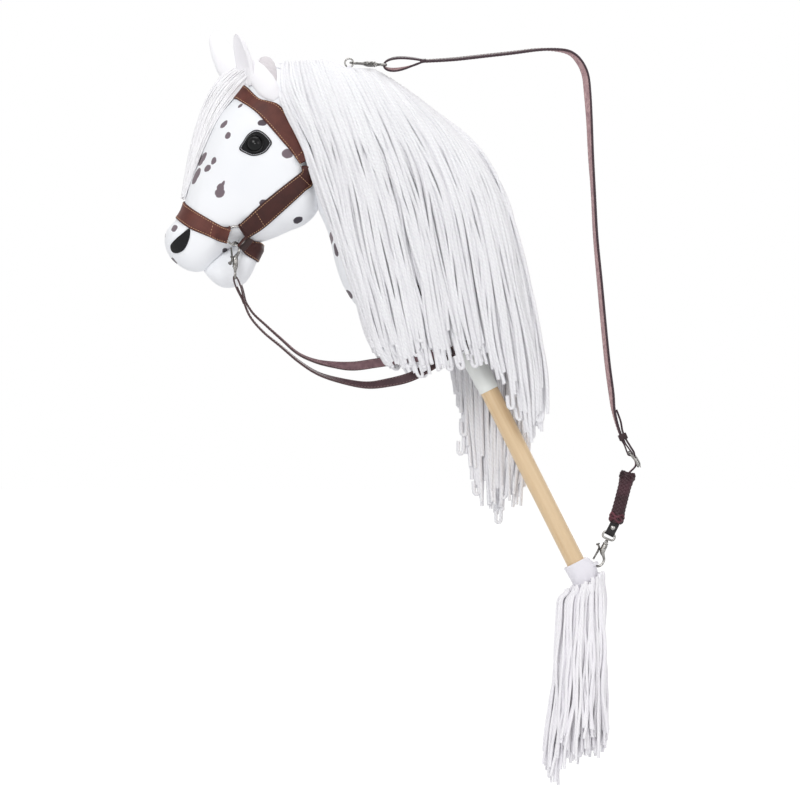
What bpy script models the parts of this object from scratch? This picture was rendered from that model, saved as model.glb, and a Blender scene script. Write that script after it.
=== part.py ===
"""Hobby horse: stuffed spotted horse head with a yarn mane on a wooden stick, with halter, reins,
a carry strap from the crest to the tail, and a yarn tail.

Metres, +Z up. The horse faces -X and its plane of symmetry is y = 0, so its left is on the -Y side.
The origin is the middle of the stick's bare grip, on the stick's axis. Outlines in the plane of
symmetry are lists of (x, z) in millimetres.
"""
import math

import bmesh
import bpy
from mathutils import Matrix, Vector
from mathutils.bvhtree import BVHTree

for old in list(bpy.data.objects):
    bpy.data.objects.remove(old, do_unlink=True)

MM = 0.001

# Facets
FLAT_ANGLE = math.radians(0.5)
BODY_SIDES = 20

# Clearances
TOUCH = 0.3 * MM
RUN = 0.4 * MM

# Stick and the sleeves on it, measured along the stick from the origin, downwards positive
STICK_DIA = 24 * MM
STICK_TILT = math.radians(26.7)
STICK_TOP = -330 * MM
STICK_END = 152 * MM
STICK_BEVEL = 1.5 * MM
COLLAR_LOW = -129 * MM
COLLAR_TOP = -212 * MM
COLLAR_WALL_LOW = 1.2 * MM
COLLAR_WALL_TOP = 3.6 * MM
SLEEVE_TOP = 123 * MM
SLEEVE_LOW = 153 * MM
SLEEVE_WALL = 4.6 * MM

# Head: stations along its own axis from the poll towards the nose
HEAD_START = (-323, 480)
HEAD_PITCH = math.radians(53.8)
HEAD_FULLNESS = 2.5

# Leather
HALTER_THICK = 2.4 * MM
REIN_WIDTH = 12.4 * MM
REIN_THICK = 2.4 * MM
CARRY_WIDTH = 15 * MM
CARRY_THICK = 3.4 * MM
LOOP_THICK = 2.0 * MM
LOOP_INSET = 0.2 * MM
FELT_THICK = 1.2 * MM

# Rings and snaps
BIT_RING_RADIUS = 12.4 * MM
BIT_RING_WIRE = 1.25 * MM
CHEEK_RING_RADIUS = 5.6 * MM
CHEEK_RING_WIRE = 1.0 * MM
CREST_RING_RADIUS = 5.5 * MM
CREST_RING_WIRE = 1.1 * MM
EYE_DIA = 24.6 * MM
EYE_HEIGHT = 7.5 * MM
EYE_POST_DIA = 5 * MM
EYE_POST_LENGTH = 12 * MM
RIVET_DIA = 6.4 * MM
GRIP_DIA = 18 * MM

# Tail
TAIL_PIVOT_ALONG = 142 * MM
TAIL_RIM = 2.5 * MM
TAIL_HOOK_ROOM = 11 * MM

STICK_DOWN = Vector((math.sin(STICK_TILT), 0, -math.cos(STICK_TILT)))
STICK_SIDE = Vector((math.cos(STICK_TILT), 0, math.sin(STICK_TILT)))
ACROSS = Vector((0, 1, 0))
UP = Vector((0, 0, 1))


# Helpers

def at(point, y=0.0):
    """World place of an (x, z) pair in millimetres, y in metres."""
    return Vector((point[0] * MM, y, point[1] * MM))


def stick_point(along, side=0.0, across=0.0):
    return STICK_DOWN * along + STICK_SIDE * side + ACROSS * across


def material(name, colour, roughness, metallic=0.0):
    mat = bpy.data.materials.get(name)
    if mat is None:
        mat = bpy.data.materials.new(name)
        mat.use_nodes = True
        shader = mat.node_tree.nodes["Principled BSDF"]
        shader.inputs["Base Color"].default_value = (*colour, 1)
        shader.inputs["Roughness"].default_value = roughness
        shader.inputs["Metallic"].default_value = metallic
    return mat


def finish(name, mesh, mat, smooth_angle=40):
    """Put a mesh into the scene as one object with one material."""
    mesh.materials.clear()
    mesh.materials.append(mat)
    mesh.shade_smooth()
    mesh.set_sharp_from_angle(angle=math.radians(smooth_angle))
    obj = bpy.data.objects.new(name, mesh)
    bpy.context.scene.collection.objects.link(obj)
    return obj


def solid(name, rings, mat, closed=False):
    """Skin rings of equal point counts, capped at both ends or closed on itself."""
    bm = bmesh.new()
    rows = [[bm.verts.new(p) for p in ring] for ring in rings]
    count = len(rows[0])
    pairs = list(zip(rows, rows[1:]))
    if closed:
        pairs.append((rows[-1], rows[0]))
    for low, high in pairs:
        for i in range(count):
            j = (i + 1) % count
            bm.faces.new((low[i], low[j], high[j], high[i]))
    if not closed:
        bm.faces.new(rows[0][::-1])
        bm.faces.new(rows[-1])
    bmesh.ops.triangulate(bm, faces=bm.faces)
    bmesh.ops.recalc_face_normals(bm, faces=bm.faces)
    if bm.calc_volume(signed=True) < 0:
        bmesh.ops.reverse_faces(bm, faces=bm.faces)
    mesh = bpy.data.meshes.new(name)
    bm.to_mesh(mesh)
    bm.free()
    return finish(name, mesh, mat)


def oval(centre, first, second, radius_first, radius_second, count, fullness=2.0):
    """Ring of points on a superellipse; fullness 2 is a plain ellipse."""
    ring = []
    for i in range(count):
        turn = 2 * math.pi * i / count
        c = math.cos(turn)
        s = math.sin(turn)
        u = math.copysign(abs(c) ** (2 / fullness), c) * radius_first
        v = math.copysign(abs(s) ** (2 / fullness), s) * radius_second
        ring.append(centre + first * u + second * v)
    return ring


def curve_through(points, steps, closed=False):
    """Points on a smooth curve through the given ones, with the given steps on each span."""
    out = []
    last = len(points) if closed else len(points) - 1
    for i in range(last):
        if closed:
            a, b, c, d = (points[(i + k) % len(points)] for k in (-1, 0, 1, 2))
        else:
            a = points[max(i - 1, 0)]
            b = points[i]
            c = points[i + 1]
            d = points[min(i + 2, len(points) - 1)]
        for k in range(steps):
            t = k / steps
            out.append(0.5 * (2 * b + (c - a) * t + (2 * a - 5 * b + 4 * c - d) * t * t
                              + (3 * b - a - 3 * c + d) * t ** 3))
    if not closed:
        out.append(points[-1].copy())
    return out


def tangents(points, closed=False):
    count = len(points)
    out = []
    for i in range(count):
        before = points[i - 1] if closed or i else points[0]
        after = points[(i + 1) % count] if closed or i < count - 1 else points[-1]
        out.append((after - before).normalized())
    return out


def tube(name, points, radii, mat, sides=6, closed=False):
    """Round bar along points; radii is one radius or one for each point."""
    if not isinstance(radii, (list, tuple)):
        radii = [radii] * len(points)
    rings = []
    along = tangents(points, closed)
    side = along[0].orthogonal().normalized()
    for point, tangent, radius in zip(points, along, radii):
        side = (side - tangent * side.dot(tangent)).normalized()
        rings.append(oval(point, side, tangent.cross(side), radius, radius, sides))
    return solid(name, rings, mat, closed)


def circle(centre, first, second, radius, count):
    return oval(centre, first, second, radius, radius, count)


def ring(name, centre, first, second, radius, wire, mat, count=20, sides=6):
    """Torus whose own plane holds the directions first and second."""
    normal = first.cross(second).normalized()
    rings = []
    for i in range(count):
        turn = 2 * math.pi * i / count
        out = first * math.cos(turn) + second * math.sin(turn)
        rings.append(oval(centre + out * radius, out, normal, wire, wire, sides))
    return solid(name, rings, mat, closed=True)


def band(name, points, widths, width, thick, mat, closed=False):
    """Flat strap along points; widths gives the direction of its width at each point."""
    rings = []
    for point, tangent, across in zip(points, tangents(points, closed), widths):
        across = (across - tangent * across.dot(tangent)).normalized()
        out = tangent.cross(across)
        w = across * (width / 2)
        t = out * (thick / 2)
        rings.append([point - w - t, point + w - t, point + w + t, point - w + t])
    return solid(name, rings, mat, closed)


def prism(name, outline, y_low, y_high, mat):
    """Solid between two y values over an (x, z) outline in millimetres."""
    rings = [[at(p, y_low) for p in outline], [at(p, y_high) for p in outline]]
    return solid(name, rings, mat)


def grown(obj, distance):
    """Copy of a solid with every point moved out along its normal."""
    mesh = obj.data.copy()
    moves = [v.co + v.normal * distance for v in mesh.vertices]
    for vertex, place in zip(mesh.vertices, moves):
        vertex.co = place
    copy = bpy.data.objects.new(obj.name + "_grown", mesh)
    bpy.context.scene.collection.objects.link(copy)
    return copy


def drop(*objects):
    for obj in objects:
        bpy.data.objects.remove(obj, do_unlink=True)


def combine(obj, other, operation, solver="EXACT"):
    """Boolean of two solids, written into the first one."""
    bpy.context.view_layer.update()
    step = obj.modifiers.new("combine", "BOOLEAN")
    step.operation = operation
    step.object = other
    step.solver = solver
    graph = bpy.context.evaluated_depsgraph_get()
    mesh = bpy.data.meshes.new_from_object(obj.evaluated_get(graph))
    mat = obj.data.materials[0]
    obj.modifiers.clear()
    obj.data = mesh
    mesh.materials.clear()
    mesh.materials.append(mat)
    for polygon in mesh.polygons:
        polygon.material_index = 0
    drop(other)
    return obj


def cut(obj, *cutters):
    for cutter in cutters:
        combine(obj, cutter, "DIFFERENCE")
    return obj


def cut_clear(obj, *neighbours, gap=TOUCH, solver="EXACT"):
    """Cut a solid back so that it clears its neighbours by the gap."""
    for neighbour in neighbours:
        combine(obj, grown(neighbour, gap), "DIFFERENCE", solver)
    return obj


def tidy(obj):
    """Merge coincident points and keep the largest connected piece."""
    bm = bmesh.new()
    bm.from_mesh(obj.data)
    bmesh.ops.remove_doubles(bm, verts=bm.verts, dist=0.000002)
    bmesh.ops.dissolve_degenerate(bm, edges=bm.edges, dist=0.000001)
    todo = set(bm.faces)
    groups = []
    while todo:
        stack = [todo.pop()]
        group = []
        while stack:
            face = stack.pop()
            group.append(face)
            for edge in face.edges:
                for other in edge.link_faces:
                    if other in todo:
                        todo.remove(other)
                        stack.append(other)
        groups.append(group)
    groups.sort(key=lambda g: sum(f.calc_area() for f in g))
    for group in groups[:-1]:
        bmesh.ops.delete(bm, geom=group, context="FACES")
    bmesh.ops.delete(bm, geom=[v for v in bm.verts if not v.link_faces], context="VERTS")
    bmesh.ops.dissolve_limit(bm, angle_limit=FLAT_ANGLE, verts=bm.verts, edges=bm.edges)
    bmesh.ops.triangulate(bm, faces=bm.faces)
    bmesh.ops.recalc_face_normals(bm, faces=bm.faces)
    if bm.calc_volume(signed=True) < 0:
        bmesh.ops.reverse_faces(bm, faces=bm.faces)
    bm.to_mesh(obj.data)
    bm.free()
    obj.data.shade_smooth()
    obj.data.set_sharp_from_angle(angle=math.radians(40))
    return obj


def mirrored(obj, name):
    """Copy of a left-hand piece for the right-hand side."""
    bm = bmesh.new()
    bm.from_mesh(obj.data)
    for vertex in bm.verts:
        vertex.co.y = -vertex.co.y
    bmesh.ops.reverse_faces(bm, faces=bm.faces)
    mesh = bpy.data.meshes.new(name)
    bm.to_mesh(mesh)
    bm.free()
    return finish(name, mesh, obj.data.materials[0])


def surface(obj, x, z, side):
    """Place and outward direction of a solid's flank, seen along Y at (x, z) in metres."""
    bpy.context.view_layer.update()
    tree = BVHTree.FromObject(obj, bpy.context.evaluated_depsgraph_get())
    start = Vector((x, side * 1.0, z))
    place, normal, _, _ = tree.ray_cast(start, Vector((0, -side, 0)))
    return place, normal


PINE = material("pine", (0.70, 0.52, 0.32), 0.5)
FABRIC = material("white_fabric", (0.86, 0.86, 0.88), 0.9)
COLLAR_FABRIC = material("collar_fabric", (0.68, 0.71, 0.68), 0.85)
FELT = material("black_felt", (0.012, 0.012, 0.014), 0.95)
GLASS_BLACK = material("black_plastic", (0.005, 0.005, 0.006), 0.08)
YARN = material("white_yarn", (0.84, 0.84, 0.87), 0.9)
LEATHER = material("halter_leather", (0.13, 0.045, 0.03), 0.5)
REIN_LEATHER = material("rein_leather", (0.06, 0.02, 0.02), 0.55)
BLACK_LEATHER = material("black_leather", (0.015, 0.013, 0.013), 0.5)
NICKEL = material("nickel", (0.55, 0.55, 0.54), 0.22, 1.0)

SIDES = {"left": -1, "right": 1}


# Stick, collar and tail sleeve

def stick_turning(name, profile, mat, count=24):
    """Solid turned round the stick's axis; profile is (along, radius) pairs."""
    rings = [circle(stick_point(s), STICK_SIDE, ACROSS, r, count) for s, r in profile]
    return solid(name, rings, mat)


stick_radius = STICK_DIA / 2
stick = stick_turning("stick", [
    (STICK_TOP, stick_radius - STICK_BEVEL),
    (STICK_TOP + STICK_BEVEL, stick_radius),
    (STICK_END - STICK_BEVEL, stick_radius),
    (STICK_END, stick_radius - STICK_BEVEL),
], PINE)


def sleeve(name, profile, mat):
    """Sleeve round the stick with its bore cut TOUCH wider than the stick."""
    body = stick_turning(name, profile, mat)
    reach = 10 * MM
    bore = stick_turning("bore", [
        (profile[0][0] - reach, stick_radius + TOUCH),
        (profile[-1][0] + reach, stick_radius + TOUCH),
    ], mat)
    return cut(body, bore)


collar_radius_low = stick_radius + COLLAR_WALL_LOW
collar_radius_top = stick_radius + COLLAR_WALL_TOP
neck_collar = sleeve("neck_collar", [
    (COLLAR_TOP, collar_radius_top),
    (COLLAR_LOW - 40 * MM, (collar_radius_low + 2 * collar_radius_top) / 3),
    (COLLAR_LOW - 0.6 * MM, collar_radius_low),
    (COLLAR_LOW, collar_radius_low - 0.5 * MM),
], COLLAR_FABRIC)

sleeve_radius = stick_radius + TOUCH + SLEEVE_WALL
tail_sleeve = sleeve("tail_sleeve", [
    (SLEEVE_TOP, sleeve_radius - 0.8 * MM),
    (SLEEVE_TOP + 1 * MM, sleeve_radius),
    (SLEEVE_LOW, sleeve_radius),
], FABRIC)

# Head: an oval at each station, (along, towards the face, towards the throat, half width)
HEAD_STATIONS = [
    (-44, 34, 30, 20), (-36, 52, 50, 31), (-20, 61, 62, 38), (0, 64, 72, 43), (26, 65, 81, 47),
    (52, 65, 96, 49), (78, 60, 110, 49), (104, 54, 107, 46), (123, 48, 96, 43), (143, 42, 86, 40),
    (160, 37, 77, 38), (176, 34, 62, 36), (190, 32, 50, 35), (206, 33, 46, 34), (221, 33, 43, 32),
    (234, 26, 39, 27), (243, 14, 28, 18), (247, 4, 16, 9),
]

head_down = Vector((-math.cos(HEAD_PITCH), 0, -math.sin(HEAD_PITCH)))
head_back = Vector((math.sin(HEAD_PITCH), 0, -math.cos(HEAD_PITCH)))


def head_place(along, back):
    """Place in the plane of symmetry from the head's own two directions, in millimetres."""
    return at(HEAD_START) + head_down * (along * MM) + head_back * (back * MM)


head_rings = []
for along, face, throat, half in HEAD_STATIONS:
    middle = head_place(along, (throat - face) / 2)
    head_rings.append(oval(middle, head_back, ACROSS, (throat + face) / 2 * MM, half * MM,
                           BODY_SIDES, HEAD_FULLNESS))
head = solid("head", head_rings, FABRIC)

# Neck: stations of (crest x, crest z, throat x, throat z, half width)
NECK_STATIONS = [
    (-322, 538, -283, 352, 36), (-265, 533, -268, 317, 43), (-206, 511, -260, 282, 45),
    (-154, 477, -249, 250, 45), (-109, 434, -230, 222, 43), (-76, 386, -203, 200, 40),
    (-56, 330, -174, 182, 36), (-51, 272, -143, 169, 30), (-55, 228, -124, 163, 25),
]
NECK_END_RADIUS = 20 * MM
NECK_END = -190 * MM

neck_rings = []
for crest_x, crest_z, throat_x, throat_z, half in NECK_STATIONS:
    crest = at((crest_x, crest_z))
    throat = at((throat_x, throat_z))
    line = (crest - throat).normalized()
    neck_rings.append(oval((crest + throat) / 2, line, ACROSS, (crest - throat).length / 2,
                           half * MM, BODY_SIDES, 2.2))
neck_rings.append(circle(stick_point(NECK_END), STICK_SIDE, ACROSS, NECK_END_RADIUS, BODY_SIDES))
neck = solid("neck", neck_rings, FABRIC)
neck_full = grown(neck, 0)
cut_clear(neck, head, neck_collar, stick)

# Lower jaw: a drooping lobe under the muzzle
JAW_STATIONS = [
    (-352, 314, -340, 303, 12), (-369, 312, -353, 286, 22), (-386, 303, -366, 266, 25),
    (-402, 291, -379, 252, 25), (-415, 281, -400, 248, 22), (-424, 274, -413, 253, 14),
    (-428, 270, -422, 261, 5),
]
jaw_rings = []
for x1, z1, x2, z2, half in JAW_STATIONS:
    upper = at((x1, z1))
    lower = at((x2, z2))
    jaw_rings.append(oval((upper + lower) / 2, (upper - lower).normalized(), ACROSS,
                          (upper - lower).length / 2, half * MM, 16))
lower_jaw = solid("lower_jaw", jaw_rings, FABRIC)
cut_clear(lower_jaw, head)

# Ears: cupped leaves from base to tip, the hollow turned forwards and outwards
EAR_LENGTH = 68 * MM
EAR_STATIONS = [(0.0, 13, 7), (0.18, 15, 7), (0.4, 15, 6), (0.62, 12, 5), (0.82, 7, 4), (1.0, 1.5, 2.5)]
EAR_WALL = 4 * MM
EAR_BASE = {"left": (-370, 511), "right": (-388, 512)}
EAR_TIP = {"left": (-387, 577), "right": (-417, 579)}
EAR_BASE_OUT = 24 * MM
EAR_TIP_OUT = 36 * MM


def ear(name, side):
    base = at(EAR_BASE[side], SIDES[side] * EAR_BASE_OUT)
    tip = at(EAR_TIP[side], SIDES[side] * EAR_TIP_OUT)
    axis = (tip - base).normalized()
    forward = Vector((-0.75, SIDES[side] * 0.65, 0.1))
    forward = (forward - axis * forward.dot(axis)).normalized()
    wide = axis.cross(forward)
    rings = []
    for share, half, depth in EAR_STATIONS:
        centre = base + (tip - base) * share
        outer = []
        inner = []
        wall = min(EAR_WALL, half * MM * 0.8)
        for i in range(9):
            turn = math.radians(-90 + 22.5 * i)
            outer.append(centre + wide * (half * MM * math.sin(turn))
                         - forward * (depth * MM * math.cos(turn)))
            inner.append(centre + wide * (half * MM * 0.82 * math.sin(turn))
                         - forward * ((depth * MM) * math.cos(turn) - wall))
        rings.append(outer + inner[::-1])
    return solid(name, rings, FABRIC)


ears = {side: ear("ear_" + side, side) for side in SIDES}
for side in SIDES:
    cut_clear(ears[side], head)

# Felt patches and eyes
EYE_FELT_OUTLINE = [
    (-383, 429), (-377, 441), (-369, 450), (-359, 454), (-351, 450), (-345, 444), (-341, 438),
    (-346, 430), (-355, 423), (-365, 420), (-375, 422),
]
EYE_CENTRE = (-363, 436)
NOSTRIL_OUTLINE = [
    (-448, 327), (-460, 320), (-469, 312), (-472, 304), (-469, 298), (-463, 295), (-455, 300),
    (-448, 312),
]


def patch(name, outline, base, thick, mat, start=10 * MM):
    """Flat piece that follows the left flank of a soft solid, TOUCH above it."""
    body = prism(name, outline, -90 * MM, -start, mat)
    combine(body, grown(base, TOUCH + thick), "INTERSECT")
    combine(body, grown(base, TOUCH), "DIFFERENCE")
    return tidy(body)


def eye(name, side):
    place, normal = surface(head, EYE_CENTRE[0] * MM, EYE_CENTRE[1] * MM, side)
    first = normal.orthogonal().normalized()
    second = normal.cross(first)
    radius = EYE_DIA / 2
    post = EYE_POST_DIA / 2
    profile = [(-EYE_POST_LENGTH, post - 0.6 * MM), (-EYE_POST_LENGTH + 1 * MM, post), (0, post),
               (0.1 * MM, radius - 0.6 * MM), (1 * MM, radius)]
    for k in range(1, 4):
        turn = math.radians(22.5 * k)
        profile.append((1 * MM + EYE_HEIGHT * math.sin(turn), radius * math.cos(turn)))
    profile.append((1.03 * MM + EYE_HEIGHT, radius * 0.08))
    rings = [circle(place + normal * out, first, second, r, 16) for out, r in profile]
    return solid(name, rings, GLASS_BLACK)


eyes = {side: eye("eye_" + side, sign) for side, sign in SIDES.items()}
eye_felt_left = patch("eye_felt_left", EYE_FELT_OUTLINE, head, FELT_THICK, FELT)
cut_clear(eye_felt_left, eyes["left"])
mirrored(tidy(eye_felt_left), "eye_felt_right")
nostril_left = patch("nostril_left", NOSTRIL_OUTLINE, head, FELT_THICK, FELT, 4 * MM)
mirrored(nostril_left, "nostril_right")

# Rings of the halter, flat against the cheeks
BIT_RING_PLACE = (-386, 315)
BIT_RING_LIFT = 7.64 * MM
CHEEK_RING_PLACE = (-297, 408)
CHEEK_RING_LIFT = 5 * MM
X_AXIS = Vector((1, 0, 0))


def halter_rings(label, place, out, radius, wire):
    made = {}
    for side, sign in SIDES.items():
        made[side] = ring(label + side, at(place, sign * out), X_AXIS, UP, radius, wire, NICKEL)
    return made


bit_flank, _ = surface(head, BIT_RING_PLACE[0] * MM, BIT_RING_PLACE[1] * MM, -1)
bit_out = abs(bit_flank.y) + BIT_RING_LIFT
bit_rings = halter_rings("bit_ring_", BIT_RING_PLACE, bit_out, BIT_RING_RADIUS, BIT_RING_WIRE)
cheek_flank, _ = surface(head, CHEEK_RING_PLACE[0] * MM, CHEEK_RING_PLACE[1] * MM, -1)
cheek_out = abs(cheek_flank.y) + CHEEK_RING_LIFT
cheek_rings = halter_rings("cheek_ring_", CHEEK_RING_PLACE, cheek_out, CHEEK_RING_RADIUS,
                           CHEEK_RING_WIRE)

# Halter: each strap follows the head's surface inside its outline, and its ends fold round a ring
BROWBAND_OUTLINE = [
    (-394, 526), (-372, 509), (-354, 496), (-334, 489), (-318, 472), (-300, 437), (-297.6, 409),
    (-305, 409), (-309, 416), (-320, 431), (-344, 460), (-363, 479), (-386, 494), (-410, 511),
]
BROWBAND_END = [(-297.4, 424), (-297.4, 408.8), (-305.3, 408.8), (-308, 424)]
CROWN_X = -288 * MM
CROWN_CENTRE_Z = 440 * MM
CROWN_WIDTH = 18 * MM
CROWN_LOWEST = math.radians(-14)
CROWN_STEPS = 22
CROWN_END = [(-296.8, 409), (-287, 409), (-282, 432), (-296.4, 432)]
CHEEK_OUTLINE = [
    (-301.5, 406), (-292.5, 406), (-285, 386), (-332, 343), (-362, 317), (-373, 315), (-383, 326.5),
    (-380, 336), (-344, 367), (-303, 397),
]
CHEEK_UPPER_END = [(-301.8, 406.2), (-292.2, 406.2), (-288.5, 396), (-303.5, 396)]
CHEEK_LOWER_END = [(-383.4, 326.4), (-373, 314.6), (-365, 320), (-377, 334)]
NOSEBAND_OUTLINE = [
    (-480, 374), (-457, 361), (-399, 328), (-391.5, 322), (-393.5, 309), (-400, 308), (-467, 341),
    (-490, 353),
]
NOSEBAND_END = [(-391.2, 322.5), (-393.3, 308.5), (-402, 310), (-402, 327)]
CHIN_OUTLINE = [
    (-367, 312.5), (-373.5, 313.5), (-377.5, 307), (-378.5, 296), (-366, 284), (-345, 272),
    (-332, 292), (-352, 303),
]
CHIN_END = [(-367.3, 312.8), (-373.8, 313.9), (-377.9, 307), (-378.7, 298), (-374, 299)]
FOLD_OVER = 1.3 * MM
FOLD_START = 20 * MM


def halter_strap(name, outline, ends, y_low=-90 * MM, y_high=90 * MM):
    """Strap that follows the head inside an outline, with its ends folded round rings' wires.

    An end is (outline, side, reach out from the plane of symmetry, ring)."""
    body = prism(name, outline, y_low, y_high, LEATHER)
    combine(body, grown(head, TOUCH + HALTER_THICK), "INTERSECT")
    for end, side, out, _ in ends:
        sign = SIDES[side]
        fold = prism("fold", end, min(sign * FOLD_START, sign * out), max(sign * FOLD_START, sign * out),
                     LEATHER)
        combine(body, fold, "UNION")
    combine(body, grown(head, TOUCH), "DIFFERENCE")
    for _, _, _, wire in ends:
        combine(body, grown(wire, TOUCH), "DIFFERENCE")
    return tidy(body)


def crown_piece():
    """Strap over the poll, laid on whichever of head and neck stands out further."""
    bpy.context.view_layer.update()
    graph = bpy.context.evaluated_depsgraph_get()
    trees = [BVHTree.FromObject(base, graph) for base in (head, neck_full)]
    centre = Vector((CROWN_X, 0, CROWN_CENTRE_Z))
    points = []
    for i in range(CROWN_STEPS + 1):
        turn = CROWN_LOWEST + (math.pi - 2 * CROWN_LOWEST) * i / CROWN_STEPS
        out = Vector((0, -math.cos(turn), math.sin(turn)))
        reach = max((hit[0] - centre).length for hit in
                    (tree.ray_cast(centre + out, -out) for tree in trees) if hit[0])
        points.append(centre + out * (reach + 4 * TOUCH + HALTER_THICK / 2))
    widths = [X_AXIS] * len(points)
    return band("crown_strap", points, widths, CROWN_WIDTH, HALTER_THICK, LEATHER)


bit_fold_out = bit_out + BIT_RING_WIRE + FOLD_OVER
cheek_fold_out = cheek_out + CHEEK_RING_WIRE + FOLD_OVER


def both_ends(end, out, wires):
    return [(end, side, out, wires[side]) for side in SIDES]


browband = halter_strap("browband", BROWBAND_OUTLINE,
                        both_ends(BROWBAND_END, cheek_fold_out, cheek_rings))
noseband = halter_strap("noseband", NOSEBAND_OUTLINE, both_ends(NOSEBAND_END, bit_fold_out, bit_rings))
chin_strap = halter_strap("chin_strap", CHIN_OUTLINE, both_ends(CHIN_END, bit_fold_out, bit_rings))
cheek_strap_left = halter_strap("cheek_strap_left", CHEEK_OUTLINE, [
    (CHEEK_UPPER_END, "left", cheek_fold_out, cheek_rings["left"]),
    (CHEEK_LOWER_END, "left", bit_fold_out, bit_rings["left"]),
], y_high=-8 * MM)
cheek_strap_right = mirrored(cheek_strap_left, "cheek_strap_right")
for strap in (cheek_strap_left, cheek_strap_right):
    cut_clear(strap, neck_full)
    tidy(strap)

crown_strap = crown_piece()
for side, sign in SIDES.items():
    fold = prism("fold", CROWN_END, min(sign * FOLD_START, sign * cheek_fold_out),
                 max(sign * FOLD_START, sign * cheek_fold_out), LEATHER)
    combine(crown_strap, fold, "UNION")
cut_clear(crown_strap, head, neck_full, cheek_rings["left"], cheek_rings["right"])
cut_clear(browband, neck_full)
tidy(browband)
tidy(crown_strap)
cut_clear(lower_jaw, chin_strap)
tidy(lower_jaw)
for side in SIDES:
    cut_clear(ears[side], browband)
    tidy(ears[side])
tidy(neck)


# Trigger snaps: a barrel with a fixed jaw, a gate on a pivot, and a swivel with a strap bar
SNAP_SIZE = 1.25
BARREL_END = 26
SWIVEL_NECK = 4.6
SWIVEL_DEPTH = 6.4
SNAP_LENGTH = BARREL_END + SWIVEL_NECK + SWIVEL_DEPTH
JAW_PATH = [
    (BARREL_END, 0, 3.0), (17.5, 0, 3.0), (15, 0.7, 2.4), (12.4, 3.0, 1.6), (9, 5.1, 1.35), (5, 5.2, 1.3),
    (1.8, 3.7, 1.3), (0, 0.6, 1.3), (0.5, -2.4, 1.25), (1.9, -3.9, 1.15),
]
GATE_PATH = [
    (22.4, -7.8, 1.0), (21.8, -7.2, 1.9), (20.6, -6.0, 1.9), (18.6, -4.35, 1.2), (15, -4.35, 1.2),
    (9.6, -5.0, 1.0), (5.2, -5.5, 1.0),
]
GATE_PIVOT = (15, -4.35)
SWIVEL_PIN = 1.1
SWIVEL_BAR = 1.15
SWIVEL_SHOULDER = 2.3


def snap(label, side_label, nose, along, lateral, bar, bar_room):
    """Snap from its nose towards its strap bar; lateral is the side of the fixed jaw."""
    along = along.normalized()
    lateral = (lateral - along * lateral.dot(along)).normalized()
    size = SNAP_SIZE * MM

    def place(u, v, w=0.0):
        return nose + along * (u * size) + lateral * (v * size) + bar * w

    hook_points = [place(u, v) for u, v, _ in JAW_PATH]
    hook = tube(label + "_hook" + side_label, hook_points, [r * size for _, _, r in JAW_PATH], NICKEL)
    bore = tube("bore", [place(BARREL_END - 3.4, 0), place(BARREL_END + 1, 0)], SWIVEL_PIN * size + RUN,
                NICKEL, 8)
    combine(hook, bore, "DIFFERENCE")
    gate_points = [place(u, v) for u, v, _ in GATE_PATH]
    gate = tube(label + "_gate" + side_label, gate_points, [r * size for _, _, r in GATE_PATH], NICKEL)
    half = bar_room / 2 + SWIVEL_BAR * size
    top = BARREL_END + SWIVEL_NECK
    loop_points = []
    for u, w in ((SNAP_LENGTH - 0.6, -half), (SNAP_LENGTH, -half + 0.6 * size), (SNAP_LENGTH, 0),
                 (SNAP_LENGTH, half - 0.6 * size), (SNAP_LENGTH - 0.6, half), (top + 1.6, half),
                 (top, half - 1.6 * size), (top, 0), (top, -half + 1.6 * size), (top + 1.6, -half)):
        loop_points.append(place(u, 0, w))
    swivel = tube(label + "_swivel" + side_label, loop_points, SWIVEL_BAR * size, NICKEL, closed=True)
    pin_profile = [(BARREL_END - 3, SWIVEL_PIN), (BARREL_END + 0.3, SWIVEL_PIN),
                   (BARREL_END + 0.35, SWIVEL_SHOULDER), (BARREL_END + 1.6, SWIVEL_SHOULDER),
                   (BARREL_END + 2.2, 1.5), (top + 0.3, 1.5)]
    first = lateral
    second = along.cross(lateral)
    pin = solid("pin", [circle(place(u, 0), first, second, r * size, 8) for u, r in pin_profile],
                NICKEL)
    combine(swivel, pin, "UNION")
    tidy(swivel)
    return {
        "bar": place(SNAP_LENGTH, 0),
        "pivot": place(*GATE_PIVOT),
        "along": along,
        "hook": hook,
        "gate": gate,
        "swivel": swivel,
    }


def teardrop(bar, away, across, radius, length, half_width, count=20):
    """Closed outline round a strap bar that narrows to a point."""
    points = []
    for i in range(count):
        turn = 2 * math.pi * (i + 0.5) / count
        out = -radius + (length + radius) * (1 + math.cos(turn)) / 2
        side = half_width * math.sin(turn) * abs(math.sin(turn / 2)) ** 1.3
        points.append(bar + away * out + across * side)
    return points


def strap_eye(name, bar, away, width_way, width, length, half_width, bar_radius, mat):
    """Strap end sewn back on itself round a bar."""
    across = away.cross(width_way).normalized()
    inner = bar_radius + RUN
    shift = width_way * (width / 2 - LOOP_INSET)
    loops = []
    for radius, reach, half in ((inner + LOOP_THICK, length, half_width + LOOP_THICK),
                                (inner, length - 3.2 * LOOP_THICK, half_width)):
        points = teardrop(bar, away, across, radius, reach, half)
        extra = width_way * (0 if not loops else 2 * MM)
        loops.append([[p - shift - extra for p in points], [p + shift + extra for p in points]])
    body = solid(name, loops[0], mat)
    hole = solid("hole", loops[1], mat)
    return tidy(cut(body, hole))


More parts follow.
